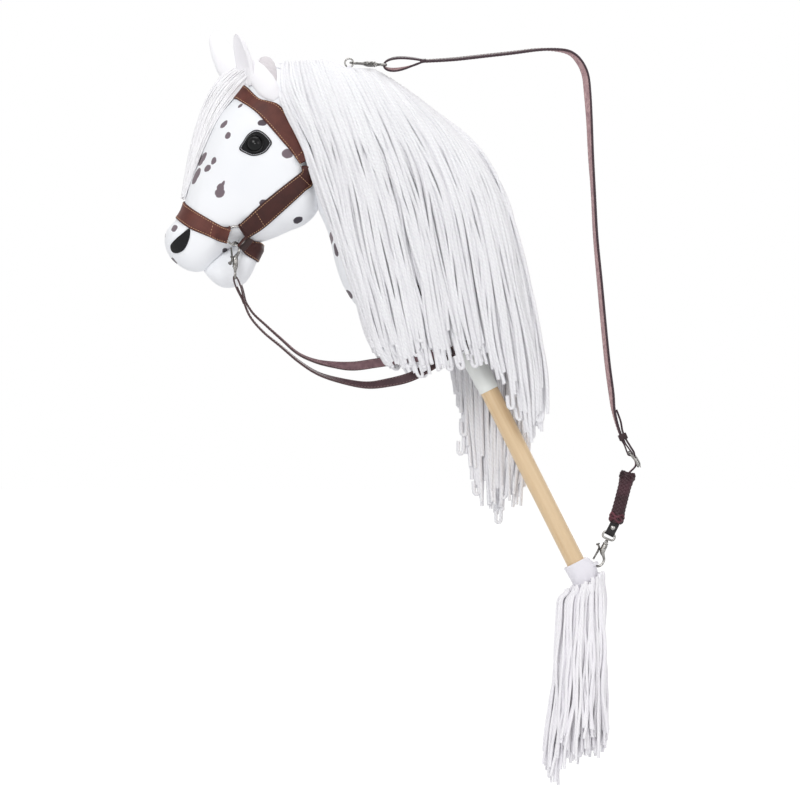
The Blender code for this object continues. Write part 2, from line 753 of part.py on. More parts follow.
# Reins: one strap from snap to snap, edge on at the mouth and flat round the foot of the neck
REIN_EYE_HALF = 4.2 * MM
REIN_SNAP_TURN = math.radians(42)
REIN_SNAP_OFFSET = 1 * MM
REIN_NEAR = [
    (-377, 233, -39, 0), (-368, 211, -39, 0.03), (-351, 191, -40, 0.06), (-328, 172, -41, 0.1),
    (-304, 152, -42, 0.15), (-280, 137, -42, 0.22), (-252, 128, -42, 0.35), (-218, 122, -41, 0.5),
    (-190, 125, -39, 0.65), (-162, 132, -36, 0.85), (-137, 145, -33, 1),
]
REIN_FAR = [
    (-377, 233, 39, 0), (-366, 216, 39, 0.03), (-350, 201, 40, 0.06), (-330, 183, 41, 0.1),
    (-308, 164, 42, 0.15), (-286, 154, 42, 0.25), (-262, 149, 42, 0.45), (-235, 147, 41, 0.75),
    (-205, 151, 39, 1), (-172, 156, 36, 1), (-142, 160, 32, 1),
]
REIN_WRAP = [
    (-196, -13, -28.5), (-194, 3, -28), (-191, 18, -23), (-188, 29, -9), (-188, 29, 9),
    (-191, 18, 23), (-194, 3, 28), (-196, -13, 28.5),
]
snap_reach = (JAW_PATH[7][2] * SNAP_SIZE) * MM
HOOK_SLACK = 0.9 * MM
rein_nose_rise = BIT_RING_WIRE + snap_reach + HOOK_SLACK

rein_snaps = {}
for side, sign in SIDES.items():
    nose = at(BIT_RING_PLACE, sign * bit_out) + UP * (rein_nose_rise - BIT_RING_RADIUS)
    nose.x -= REIN_SNAP_OFFSET
    lateral = Vector((math.cos(REIN_SNAP_TURN), -sign * math.sin(REIN_SNAP_TURN), 0))
    rein_snaps[side] = snap("rein", "_" + side, nose, -UP, lateral, ACROSS, REIN_WIDTH + 2 * RUN)


def rein_strap():
    points = []
    widths = []
    routes = (REIN_NEAR, REIN_FAR[::-1])
    for route in routes:
        for x, z, y, flat in route:
            points.append(Vector((x * MM, y * MM, z * MM)))
            widths.append(flat)
        if route is REIN_NEAR:
            for along, out, y in REIN_WRAP:
                points.append(stick_point(along * MM, out * MM, y * MM))
                widths.append(None)
    marks = []
    for tangent, flat in zip(tangents(points), widths):
        in_plane = tangent.cross(ACROSS).normalized()
        if in_plane.z > 0:
            in_plane = -in_plane
        if flat is None:
            marks.append(STICK_DOWN.copy())
        else:
            marks.append((in_plane * flat - ACROSS * (1 - flat)).normalized())
    steps = 2
    path = curve_through(points, steps)
    turns = curve_through(marks, steps)
    return band("rein", path, turns, REIN_WIDTH, REIN_THICK, REIN_LEATHER)


rein = rein_strap()
for side, sign in SIDES.items():
    bar = rein_snaps[side]["bar"]
    start = REIN_NEAR[0] if sign < 0 else REIN_FAR[0]
    away = Vector((start[0] * MM, bar.y, start[1] * MM)) - bar
    eye_end = strap_eye("rein_eye", bar, away.normalized(), ACROSS, REIN_WIDTH,
                        away.length + 4 * MM, REIN_EYE_HALF, SWIVEL_BAR * SNAP_SIZE * MM, REIN_LEATHER)
    combine(rein, eye_end, "UNION")
tidy(rein)
head_full = grown(head, 0)
head_full.data.materials[0] = FABRIC
for side in SIDES:
    cut_clear(head, eyes[side])
tidy(head)

# Ring on the crest that takes the carry strap, held by a sewn tab
CREST_RING_PLACE = (-240, 541)
TAB_HALF_LENGTH = 3.4 * MM
TAB_HALF_WIDTH = 3 * MM
TAB_COVER = 0.8 * MM
TAB_ROOT = 524 * MM

crest_centre = at(CREST_RING_PLACE)
crest_ring = ring("crest_ring", crest_centre, X_AXIS, UP, CREST_RING_RADIUS, CREST_RING_WIRE, NICKEL)


def block(name, low, high, mat):
    rings = [[Vector((x, y, z)) for x, y in ((low.x, low.y), (high.x, low.y), (high.x, high.y),
                                             (low.x, high.y))] for z in (low.z, high.z)]
    return solid(name, rings, mat)


tab_top = crest_centre.z - CREST_RING_RADIUS + CREST_RING_WIRE + TAB_COVER
crest_tab = block("crest_tab",
                  Vector((crest_centre.x - TAB_HALF_LENGTH, -TAB_HALF_WIDTH, TAB_ROOT)),
                  Vector((crest_centre.x + TAB_HALF_LENGTH, TAB_HALF_WIDTH, tab_top)), FABRIC)
crest_room = grown(crest_tab, TOUCH)
cut_clear(crest_tab, neck, crest_ring)
tidy(crest_tab)

# Snap at the top of the carry strap
TOP_SNAP_DROP = -0.06
top_nose = crest_centre + X_AXIS * (CREST_RING_RADIUS - CREST_RING_WIRE - snap_reach - HOOK_SLACK)
top_snap = snap("top", "", top_nose, Vector((1, 0, TOP_SNAP_DROP)), ACROSS, ACROSS,
                CARRY_WIDTH + 2 * RUN)

# Mane: curtains of yarn on each side of the crest, as stations along the horse of
# (x, top z, lowest z on the left, lowest z on the right, half thickness)
MANE_STATIONS = [
    (-333, 541, 505, 505, 34), (-326, 547, 490, 490, 46), (-313, 549, 466, 466, 52),
    (-297, 549, 438, 438, 56), (-288, 548, 394, 394, 58), (-271, 545, 350, 350, 59),
    (-250, 534, 290, 290, 60), (-227, 532, 225, 225, 61), (-210, 529, 174, 174, 61),
    (-192, 523, 154, 154, 60), (-170, 512, 149, 149, 60), (-145, 493, 148, 148, 60),
    (-120, 471, 158, 140, 60), (-100, 452, 163, 62, 59), (-84, 437, 168, 22, 57),
    (-68, 421, 153, -31, 54), (-52, 397, 135, -37, 51), (-36, 363, 104, -37, 47),
    (-22, 318, 72, -20, 42), (-8, 266, 60, 10, 37), (6, 200, 68, 62, 30), (15, 150, 100, 104, 22),
]
MANE_ROOF = 100
MANE_FALLS = [0, 0.03, 0.09, 0.2, 0.38, 0.62, 1]
MANE_ROOF_SHARE = 0.7
MANE_PARTING = 0.25 * MM
REIN_ROOM_HALF = 41 * MM
REIN_ROOM = [(-213, 207), (-213, -60), (-32, -60), (-32, 207)]


def mane_side(name, side):
    sign = SIDES[side]
    rings = []
    for x, top, low_left, low_right, half in MANE_STATIONS:
        low = low_left if side == "left" else low_right
        height = top - low
        roof = min(MANE_ROOF, height * MANE_ROOF_SHARE)
        points = []
        for share in MANE_FALLS:
            points.append((max(half * share ** 0.5, 1.0), top - share * roof))
        points.append((half * 0.97, low + height * 0.12))
        points.append((half * 0.8, low))
        points.append((half * 0.35, low))
        outer = [Vector((x * MM, sign * (MANE_PARTING + y * MM), z * MM)) for y, z in points]
        foot = Vector((x * MM, sign * MANE_PARTING, low * MM))
        head_of = Vector((x * MM, sign * MANE_PARTING, (top - 0.5) * MM))
        rings.append([head_of] + outer + [foot])
    return solid(name, rings, YARN)


for side, sign in SIDES.items():
    mane = mane_side("mane_" + side, side)
    cut_clear(mane, neck_full, head_full)
    tidy(mane)
    cut_clear(mane, stick, neck_collar)
    combine(mane, grown(crest_room, 0), "DIFFERENCE")
    cut(mane, prism("rein_room", REIN_ROOM, -REIN_ROOM_HALF, REIN_ROOM_HALF, YARN))
    tidy(mane)
    cut_clear(mane, cheek_rings[side], crown_strap, browband,
              cheek_strap_left if sign < 0 else cheek_strap_right, solver="MANIFOLD")
    tidy(mane)
drop(neck_full, crest_room)

# Forelock: brushed yarn on the forehead, over the browband
FORELOCK_OUTLINE = [
    (-366, 541), (-390, 530), (-420, 500), (-436, 468), (-452, 420), (-464, 364), (-455, 362),
    (-446, 374), (-433, 415), (-415, 454), (-388, 486), (-372, 502), (-362, 522),
]
FORELOCK_DEPTH = 14 * MM
FORELOCK_HALF = 22 * MM
forelock = prism("forelock", FORELOCK_OUTLINE, -FORELOCK_HALF, FORELOCK_HALF, YARN)
combine(forelock, grown(head_full, FORELOCK_DEPTH), "INTERSECT")
cut_clear(forelock, head_full, browband, noseband)
for side in SIDES:
    cut_clear(forelock, ears[side], gap=2 * TOUCH, solver="MANIFOLD")
tidy(forelock)
drop(head_full)

# Carry strap: sewn loop at the top, one long run, end folded round the buckle's bar
CARRY_EYE_OVERLAP = 5 * MM
CARRY_EYE_HALF = 10.5 * MM
CARRY_RUN = [
    (-148, 543, 0), (-128, 544, 0), (-100, 546, 0), (-64, 550, 0), (-28, 554, 0), (5, 558, 0),
    (29, 558, 0.08), (47, 554, 0.2), (59, 543, 0.32), (67, 526, 0.37), (70, 502, 0.38), (72.5, 465, 0.31),
    (74.5, 420, 0.27), (77.5, 372, 0.2), (80.5, 315, 0.22), (86, 255, 0.26), (91, 200, 0.27),
    (96, 150, 0.27), (101, 112, 0.26), (104, 88, 0.12), (110.5, 64, 0), (118.5, 45, 0),
]
BUCKLE_BAR = (125, 33)
BUCKLE_WAY = (0.28, -0.96)
BUCKLE_LENGTH = 19 * MM
BUCKLE_WIRE = 1.4 * MM
BUCKLE_RISE = 5.4 * MM
BUCKLE_SIDE_ROOM = 2.2 * MM

buckle_bar = at(BUCKLE_BAR)
carry_points = [at((x, z)) for x, z, _ in CARRY_RUN] + [buckle_bar]
carry_turns = [turn for _, _, turn in CARRY_RUN] + [0]
carry_marks = []
for tangent, turn in zip(tangents(carry_points), carry_turns):
    in_plane = tangent.cross(ACROSS).normalized()
    carry_marks.append((ACROSS * (1 - turn) - in_plane * turn).normalized())
carry_strap = band("carry_strap", curve_through(carry_points, 2), curve_through(carry_marks, 2),
                   CARRY_WIDTH, CARRY_THICK, REIN_LEATHER)
top_bar = top_snap["bar"]
eye_way = (carry_points[0] - top_bar).normalized()
eye_length = (carry_points[0] - top_bar).length + CARRY_EYE_OVERLAP
eye_end = strap_eye("carry_eye", top_bar, eye_way, ACROSS, CARRY_WIDTH, eye_length, CARRY_EYE_HALF,
                    SWIVEL_BAR * SNAP_SIZE * MM, REIN_LEATHER)
combine(carry_strap, eye_end, "UNION")

# Buckle: frame in the plane of the strap's width, its bar inside the strap's fold
buckle_down = Vector((BUCKLE_WAY[0], 0, BUCKLE_WAY[1])).normalized()
buckle_out = ACROSS.cross(buckle_down).normalized()
if buckle_out.x < 0:
    buckle_out = -buckle_out
buckle_half = CARRY_WIDTH / 2 + BUCKLE_SIDE_ROOM


def buckle_place(down, out, across):
    return buckle_bar + buckle_down * down + buckle_out * out + ACROSS * across


frame_points = []
corner = 2.2 * MM
for down, out, across in (
        (0, 0, -buckle_half + corner), (0, 0, 0), (0, 0, buckle_half - corner),
        (corner * 0.4, 0.3 * MM, buckle_half - corner * 0.3), (corner, 0.8 * MM, buckle_half),
        (BUCKLE_LENGTH * 0.5, BUCKLE_RISE * 0.75, buckle_half),
        (BUCKLE_LENGTH - corner, BUCKLE_RISE, buckle_half),
        (BUCKLE_LENGTH, BUCKLE_RISE, buckle_half - corner), (BUCKLE_LENGTH, BUCKLE_RISE, 0),
        (BUCKLE_LENGTH, BUCKLE_RISE, -buckle_half + corner),
        (BUCKLE_LENGTH - corner, BUCKLE_RISE, -buckle_half),
        (BUCKLE_LENGTH * 0.5, BUCKLE_RISE * 0.75, -buckle_half),
        (corner, 0.8 * MM, -buckle_half), (corner * 0.4, 0.3 * MM, -buckle_half + corner * 0.3)):
    frame_points.append(buckle_place(down, out, across))
buckle_frame = tube("buckle_frame", frame_points, BUCKLE_WIRE, NICKEL, closed=True)

# Prong: a loop round the bar and a pin that rests on the frame's far side
PRONG_WIRE = 1.1 * MM
prong_turn_radius = BUCKLE_WIRE + RUN + PRONG_WIRE
PRONG_REST = BUCKLE_RISE + BUCKLE_WIRE + PRONG_WIRE + 0.4 * MM
prong_points = []
for k in range(9):
    turn = math.radians(-60 - 30 * k)
    prong_points.append(buckle_place(prong_turn_radius * math.cos(turn),
                                     prong_turn_radius * math.sin(turn), 0))
prong_points += [
    buckle_place(3.6 * MM, 5.2 * MM, 0), buckle_place(8 * MM, 7.0 * MM, 0),
    buckle_place(BUCKLE_LENGTH * 0.8, PRONG_REST + 0.1 * MM, 0),
    buckle_place(BUCKLE_LENGTH + 2.2 * MM, PRONG_REST, 0),
]
buckle_prong = tube("buckle_prong", prong_points, PRONG_WIRE, NICKEL)

# The strap's fold round the bar, slotted for the prong
fold_wall = 1.7 * MM
fold_radius = BUCKLE_WIRE + TOUCH + fold_wall
fold_half = CARRY_WIDTH / 2 - LOOP_INSET
fold_body = tube("fold", [buckle_place(0, 0, -fold_half), buckle_place(0, 0, fold_half)],
                 fold_radius, REIN_LEATHER, 20)
combine(carry_strap, fold_body, "UNION")
cut_clear(carry_strap, buckle_frame)
slot_half = PRONG_WIRE + RUN
slot_reach = prong_turn_radius + PRONG_WIRE + RUN
slot = tube("slot", [buckle_place(0, 0, -slot_half), buckle_place(0, 0, slot_half)],
            slot_reach, REIN_LEATHER, 20)
cut(carry_strap, slot)
tidy(carry_strap)

# Lower snap, on the loop of the tail sleeve
LOWER_NOSE = (81, -113)
LOWER_WAY = (0.39, 0.92)
TAB_WIDTH = 12 * MM

lower_nose = at(LOWER_NOSE)
lower_along = Vector((LOWER_WAY[0], 0, LOWER_WAY[1])).normalized()
lower_lateral = Vector((lower_along.z, 0, -lower_along.x))
lower_snap = snap("lower", "", lower_nose, lower_along, lower_lateral, lower_lateral,
                  TAB_WIDTH + 2 * RUN)
lower_bar = lower_snap["bar"]

# Grip: plaited leather round the billet, drawn here as its plain outer shape with its bore
GRIP_TOP = (123, 9)
TAB_REACH = (6.95, 13.42)
GRIP_BORE = 6.7 * MM
GRIP_PROFILE = [(0, 0.84), (0.04, 1.0), (0.13, 1.12), (0.26, 1.0), (0.7, 0.98), (0.86, 1.1), (0.97, 1.14),
                (1, 1.04)]

grip_top = at(GRIP_TOP)
grip_low = lower_bar + at(TAB_REACH)
grip_way = (grip_top - grip_low).normalized()
grip_side = grip_way.cross(ACROSS).normalized()
grip_length = (grip_top - grip_low).length
grip = solid("grip", [circle(grip_low + grip_way * (share * grip_length), grip_side, ACROSS,
                             GRIP_DIA / 2 * part, 20) for share, part in GRIP_PROFILE], REIN_LEATHER)
bore_past = grip_way * (5 * MM)
cut(grip, tube("bore", [grip_low - bore_past, grip_top + bore_past], GRIP_BORE, REIN_LEATHER, 16))

# End tab: black leather folded round the lower swivel's bar, a leg on each side of the billet
BILLET_WIDTH = 11.6 * MM
BILLET_THICK = 2.2 * MM
TAB_THICK = 1.6 * MM
TAB_BEND = 3 * MM

tab_leg = BILLET_THICK / 2 + TOUCH + TAB_THICK / 2
tab_turn = SWIVEL_BAR * SNAP_SIZE * MM + RUN + TAB_THICK / 2
tab_up = (grip_low - lower_bar).normalized()
tab_side = tab_up.cross(ACROSS).normalized()
tab_tilt = tab_up.angle(grip_way)
tab_length = (grip_low - lower_bar).length - TOUCH - TAB_WIDTH / 2 * math.tan(tab_tilt)
tab_path = [(tab_length, -tab_leg), (2 * TAB_BEND, -tab_leg), (TAB_BEND, -tab_turn)]
for k in range(7):
    turn = math.radians(-90 - 30 * k)
    tab_path.append((tab_turn * math.cos(turn), tab_turn * math.sin(turn)))
tab_path += [(TAB_BEND, tab_turn), (2 * TAB_BEND, tab_leg), (tab_length, tab_leg)]
end_tab = band("end_tab", [lower_bar + tab_up * up + ACROSS * y for up, y in tab_path],
               [tab_side] * len(tab_path), TAB_WIDTH, TAB_THICK, BLACK_LEATHER)

# Billet: strap from its tip above the keeper, through the buckle and the grip, to the tab
RIVET_UP = 8 * MM
RIVET_SHANK = 3 * MM
RIVET_HEAD = 1.2 * MM
BILLET_PAST_RIVET = 3 * MM
PRONG_SWING = math.radians(20)
BILLET_TIP = [(107.4, 90.1), (112.8, 75.3), (115.2, 62.8), (119.3, 52.7), (126.3, 41)]
BUCKLE_PASSES = [(0, 5.4), (8, 4.2), (17.5, 2.3)]

billet_points = [at(point) for point in BILLET_TIP]
billet_points += [buckle_place(down * MM, out * MM, 0) for down, out in BUCKLE_PASSES]
billet_marks = [ACROSS] * len(billet_points)
billet_turn = ((grip_top - grip_way * (grip_length * 0.045), 0),
               (grip_top - grip_way * (grip_length * 0.205), 0.1), ((grip_top + grip_low) / 2, 0.5),
               (grip_low + grip_way * (grip_length * 0.175), 0.9), (grip_low, 1),
               (lower_bar + tab_up * (RIVET_UP + BILLET_PAST_RIVET), 1),
               (lower_bar + tab_up * (RIVET_UP - BILLET_PAST_RIVET), 1))
for place, share in billet_turn:
    billet_points.append(place)
    billet_marks.append((ACROSS * (1 - share) - grip_side * share).normalized())
billet = band("billet", curve_through(billet_points, 2), curve_through(billet_marks, 2), BILLET_WIDTH,
              BILLET_THICK, REIN_LEATHER)
cut_clear(grip, billet)
tidy(grip)

# Rivet through the tab's legs and the billet, and a slot for the prong's swing
rivet_centre = lower_bar + tab_up * RIVET_UP
rivet_seat = tab_leg + TAB_THICK / 2 + TOUCH
rivet_head = [(rivet_seat, RIVET_SHANK / 2), (rivet_seat, RIVET_DIA / 2),
              (rivet_seat + 0.4 * RIVET_HEAD, RIVET_DIA / 2), (rivet_seat + RIVET_HEAD, RIVET_DIA / 3)]
rivet_profile = [(-out, radius) for out, radius in rivet_head[::-1]] + rivet_head
tab_rivet = solid("tab_rivet", [circle(rivet_centre + ACROSS * out, tab_up, tab_side, radius, 12)
                                for out, radius in rivet_profile], NICKEL)
for layer in (end_tab, billet):
    shank = tube("shank", [rivet_centre - ACROSS * rivet_seat, rivet_centre + ACROSS * rivet_seat],
                 RIVET_SHANK / 2 + TOUCH, NICKEL, 12)
    cut(layer, shank)
    tidy(layer)
for step in range(5):
    swung = grown(buckle_prong, RUN)
    swing = Matrix.Rotation(-PRONG_SWING * step / 4, 4, ACROSS)
    swung.data.transform(Matrix.Translation(buckle_bar) @ swing @ Matrix.Translation(-buckle_bar))
    combine(billet, swung, "DIFFERENCE")
tidy(billet)

# Keeper: loop round strap and billet above the buckle
KEEPER_PLACE = (114.6, 54.3)
KEEPER_WIDTH = 8 * MM
KEEPER_THICK = 1.4 * MM
keeper_way = (carry_points[-2] - carry_points[-3]).normalized()
keeper_out = ACROSS.cross(keeper_way).normalized()
if keeper_out.x < 0:
    keeper_out = -keeper_out
keeper_depth = (CARRY_THICK + TOUCH + BILLET_THICK) / 2 + 3 * RUN + KEEPER_THICK / 2
keeper_half = CARRY_WIDTH / 2 + RUN + KEEPER_THICK / 2
keeper_centre = at(KEEPER_PLACE) + keeper_out * ((TOUCH + BILLET_THICK) / 2)
KEEPER_CORNER = 0.85
keeper_points = []
for turn in range(4):
    for near, far in ((1, KEEPER_CORNER), (KEEPER_CORNER, 1)):
        corner_across, corner_out = ((near, far), (-far, near), (-near, -far), (far, -near))[turn]
        keeper_points.append(keeper_centre + ACROSS * (corner_across * keeper_half)
                             + keeper_out * (corner_out * keeper_depth))
strap_keeper = band("strap_keeper", keeper_points, [keeper_way] * len(keeper_points), KEEPER_WIDTH,
                    KEEPER_THICK, REIN_LEATHER, closed=True)

# Loop on the tail sleeve that the lower snap holds
TAIL_LOOP_WIDTH = 4 * MM
TAIL_LOOP_THICK = 1.4 * MM
TAIL_LOOP_PATH = [(-9.5, 0.55), (-9, 0.74), (-6.5, 0.93), (0, 1.0), (6.5, 0.93), (9, 0.74), (9.5, 0.55)]

loop_reach = (abs(STICK_DOWN.dot(lower_along)) * TAIL_LOOP_WIDTH
              + abs(STICK_SIDE.dot(lower_along)) * TAIL_LOOP_THICK) / 2
loop_centre = lower_nose + lower_along * (snap_reach + HOOK_SLACK + loop_reach)
loop_along = loop_centre.dot(STICK_DOWN)
loop_side = loop_centre.dot(STICK_SIDE)
loop_points = [stick_point(loop_along, loop_side * share, y * MM) for y, share in TAIL_LOOP_PATH]
tail_loop = band("tail_loop", loop_points, [STICK_DOWN] * len(loop_points), TAIL_LOOP_WIDTH,
                 TAIL_LOOP_THICK, FABRIC)
cut_clear(tail_loop, tail_sleeve)
tidy(tail_loop)

# Tail: a hanging column of yarn over the round end of the sleeve, free to swing; its stations
# are (rise above the pivot, lean, radius)
TAIL_STATIONS = [
    (14, 0, 23), (4, 0, 26), (-8, 0, 29.5), (-24, 0, 32), (-60, -1, 35), (-110, -2, 39),
    (-160, -3, 42), (-200, -4, 44), (-228, -6, 43), (-248, -9, 35), (-260, -12, 18),
]
TAIL_DEPTH = 0.8
TAIL_ROUND = 29 * MM

tail_pivot = stick_point(TAIL_PIVOT_ALONG)
sleeve_corner = math.hypot(SLEEVE_LOW - TAIL_PIVOT_ALONG, sleeve_radius)
cavity_radius = (sleeve_corner + RUN) / math.cos(math.pi / BODY_SIDES) ** 2
tail_rings = []
for rise, lean, radius in TAIL_STATIONS:
    middle = tail_pivot + Vector((lean * MM, 0, rise * MM))
    depth = max(radius * TAIL_DEPTH * MM, min(radius * MM, TAIL_ROUND))
    tail_rings.append(oval(middle, X_AXIS, ACROSS, radius * MM, depth, BODY_SIDES))
tail_tassel = solid("tail_tassel", tail_rings, YARN)
cavity_rings = []
for k in range(11):
    turn = math.radians(5 + 17 * k)
    cavity_rings.append(circle(tail_pivot - STICK_DOWN * (cavity_radius * math.cos(turn)),
                               STICK_SIDE, ACROSS, cavity_radius * math.sin(turn), BODY_SIDES))
cut(tail_tassel, solid("cavity", cavity_rings, YARN))
rim_reach = 4 * cavity_radius
cut(tail_tassel, solid("above_rim", [
    circle(tail_pivot + STICK_DOWN * TAIL_RIM, STICK_SIDE, ACROSS, rim_reach, 20),
    circle(tail_pivot - STICK_DOWN * rim_reach, STICK_SIDE, ACROSS, rim_reach, 20)], YARN))
hook_room = [circle(lower_nose + lower_along * (TAIL_HOOK_ROOM * math.cos(math.radians(5 + 17 * k))),
                    lower_lateral, ACROSS, TAIL_HOOK_ROOM * math.sin(math.radians(5 + 17 * k)), 16)
             for k in range(11)]
cut(tail_tassel, solid("hook_room", hook_room, YARN))
tidy(tail_tassel)

# Moving pieces have their origins on their joints' axes
strap_pieces = [carry_strap, buckle_frame, grip, end_tab, billet, tab_rivet, strap_keeper,
                top_snap["swivel"], lower_snap["swivel"]]
rein_pieces = [rein] + [rein_snaps[side]["swivel"] for side in SIDES]
rein_pivot = at(BIT_RING_PLACE)
pivots = [(tail_tassel, tail_pivot), (buckle_prong, buckle_bar)]
pivots += [(piece, lower_nose) for piece in strap_pieces]
pivots += [(piece, rein_pivot) for piece in rein_pieces]
pivots += [(bit_rings[side], at(BIT_RING_PLACE, sign * bit_out)) for side, sign in SIDES.items()]
for made in (top_snap, lower_snap, *rein_snaps.values()):
    pivots.append((made["hook"], made["bar"]))
    pivots.append((made["gate"], made["pivot"]))
for piece, place in pivots:
    piece.data.transform(Matrix.Translation(-place))
    piece.location = place
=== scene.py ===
"""Looks of the hobby horse, put together in the order in which the toy is made.

Metres, +Z up, the horse faces -X and its left side is -Y. Points read off the photograph are given
as its pixels, which seen() turns into places.
"""

import math
import random

import bmesh
import bpy
from mathutils import Matrix, Vector
from mathutils.bvhtree import BVHTree


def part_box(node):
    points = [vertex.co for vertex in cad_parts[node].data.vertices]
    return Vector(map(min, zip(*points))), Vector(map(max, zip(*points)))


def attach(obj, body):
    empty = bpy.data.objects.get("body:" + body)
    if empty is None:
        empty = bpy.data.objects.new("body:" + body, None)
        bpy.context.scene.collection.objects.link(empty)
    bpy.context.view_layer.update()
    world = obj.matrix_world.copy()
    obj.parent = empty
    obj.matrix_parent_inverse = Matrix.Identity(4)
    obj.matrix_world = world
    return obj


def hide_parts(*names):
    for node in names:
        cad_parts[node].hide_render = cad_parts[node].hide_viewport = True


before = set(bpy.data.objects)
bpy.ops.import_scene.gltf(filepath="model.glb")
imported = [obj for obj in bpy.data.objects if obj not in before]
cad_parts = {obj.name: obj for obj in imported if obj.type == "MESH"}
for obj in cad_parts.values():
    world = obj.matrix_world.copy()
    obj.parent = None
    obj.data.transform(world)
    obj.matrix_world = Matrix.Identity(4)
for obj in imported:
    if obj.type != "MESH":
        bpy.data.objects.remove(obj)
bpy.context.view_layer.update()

MM = 0.001
ACROSS = Vector((0, 1, 0))
ALONG = Vector((1, 0, 0))
UP = Vector((0, 0, 1))
SIDES = {"left": -1, "right": 1}


# Camera and studio: the camera stands square on the horse's left with a long lens. Soft lamps stand
# round the toy, and the floor lies under the tail and keeps the shadow.

PIXEL = 1.3 * MM
MIDDLE_PIXEL = 400
ORIGIN_PIXEL = (533.8, 479)
LENS = 250
SENSOR = 36
CAMERA_AWAY = 2 * MIDDLE_PIXEL * PIXEL * LENS / SENSOR
FLOOR_Z = -500 * MM


def seen(px, py, y=0.0):
    """Place of a pixel of the photograph, y metres off the plane of symmetry; what is nearer to the
    camera shows a little larger."""
    nearness = PIXEL * (1 - abs(y) / CAMERA_AWAY)
    return Vector(((MIDDLE_PIXEL - ORIGIN_PIXEL[0]) * PIXEL + (px - MIDDLE_PIXEL) * nearness, y,
                   (ORIGIN_PIXEL[1] - MIDDLE_PIXEL) * PIXEL + (MIDDLE_PIXEL - py) * nearness))


class Wire:
    """One socket of a node tree. Arithmetic on it adds Math nodes."""

    def __init__(self, bench, socket):
        self.bench = bench
        self.socket = socket

    def __add__(self, other):
        return self.bench.maths("ADD", self, other)

    def __sub__(self, other):
        return self.bench.maths("SUBTRACT", self, other)

    def __rsub__(self, other):
        return self.bench.maths("SUBTRACT", other, self)

    def __mul__(self, other):
        return self.bench.maths("MULTIPLY", self, other)

    __radd__ = __add__
    __rmul__ = __mul__


class Bench:
    """Adds nodes to one tree: a node's settings first, then the values or links of its sockets."""

    def __init__(self, tree):
        self.tree = tree

    def node(self, kind, settings=None, sockets=None, output=0):
        made = self.tree.nodes.new(kind)
        for name, value in (settings or {}).items():
            if name == "stops":
                ramp = made.color_ramp
                while len(ramp.elements) < len(value):
                    ramp.elements.new(0.5)
                for element, (place, colour) in zip(ramp.elements, value):
                    element.position = place
                    element.color = (*colour, 1)
            else:
                setattr(made, name, value)
        for name, value in (sockets or {}).items():
            if isinstance(name, int):
                target = made.inputs[name]
            else:
                target = next(s for s in made.inputs if s.enabled and s.name == name)
            self.join(target, value)
        outputs = [s for s in made.outputs if s.enabled]
        return Wire(self, outputs[output] if isinstance(output, int) else made.outputs[output])

    def maths(self, operation, first, second=0.0):
        return self.node("ShaderNodeMath", {"operation": operation}, {0: first, 1: second})

    def part(self, vector, axis):
        return self.node("ShaderNodeSeparateXYZ", sockets={0: vector}, output=axis)

    def join(self, target, value):
        if isinstance(value, Wire):
            self.tree.links.new(value.socket, target)
        elif isinstance(value, tuple) and len(value) == 3 and target.type == "RGBA":
            target.default_value = (*value, 1)
        else:
            target.default_value = value


def ink(code):
    """Linear colour from a web colour."""
    parts = [int(code[i:i + 2], 16) / 255 for i in (1, 3, 5)]
    return tuple(p / 12.92 if p <= 0.04045 else ((p + 0.055) / 1.055) ** 2.4 for p in parts)


bpy.context.scene.view_settings.view_transform = "Standard"
camera = bpy.data.objects.new("camera", bpy.data.cameras.new("camera"))
bpy.context.scene.collection.objects.link(camera)
bpy.context.scene.camera = camera
camera.data.lens = LENS
camera.data.sensor_width = SENSOR
camera.data.clip_end = 100
camera.location = seen(MIDDLE_PIXEL, MIDDLE_PIXEL, -CAMERA_AWAY)
camera.rotation_euler = (math.radians(90), 0, 0)
toy_middle = seen(MIDDLE_PIXEL, MIDDLE_PIXEL)


def lamp(name, place, size, watts, colour, only_shine=False):
    light = bpy.data.lights.new(name, "AREA")
    light.size = size
    light.energy = watts
    light.color = colour
    obj = bpy.data.objects.new(name, light)
    bpy.context.scene.collection.objects.link(obj)
    obj.location = place
    obj.rotation_euler = (toy_middle - Vector(place)).to_track_quat("-Z", "Y").to_euler()
    obj.visible_camera = False
    obj.visible_diffuse = not only_shine


lamp("key", (-1.3, -2.6, 1.7), 1.2, 33, (1.0, 1.0, 1.0))
lamp("fill", (1.9, -2.3, 0.9), 1.6, 14, (1.0, 0.985, 0.98))
lamp("top", (-0.1, 0.2, 2.4), 1.6, 16, (0.98, 0.99, 1.0))
lamp("back", (0.6, 2.4, 1.3), 1.8, 22, (1.0, 1.0, 1.0))
lamp("glint", (-0.4, -3.2, 0.5), 0.5, 12, (1.0, 1.0, 1.0), only_shine=True)

world = bpy.data.worlds.new("studio")
bpy.context.scene.world = world
world.use_nodes = True
world.node_tree.nodes.clear()
sky = Bench(world.node_tree)


def shown_directly(bench):
    """1 where a surface is seen by the camera, in a reflection or through glass."""
    path = {name: bench.node("ShaderNodeLightPath", output=name)
            for name in ("Is Camera Ray", "Is Glossy Ray", "Is Transmission Ray")}
    both = bench.maths("MAXIMUM", path["Is Camera Ray"], path["Is Glossy Ray"])
    return bench.maths("MAXIMUM", both, path["Is Transmission Ray"])


ambient = sky.node("ShaderNodeBackground", sockets={"Color": (1.0, 1.0, 1.0), "Strength": 0.57})
white_sky = sky.node("ShaderNodeBackground", sockets={"Color": (1.0, 1.0, 1.0), "Strength": 1.0})
sky_out = world.node_tree.nodes.new("ShaderNodeOutputWorld")
sky.join(sky_out.inputs["Surface"],
         sky.node("ShaderNodeMixShader", sockets={0: shown_directly(sky), 1: ambient, 2: white_sky}))

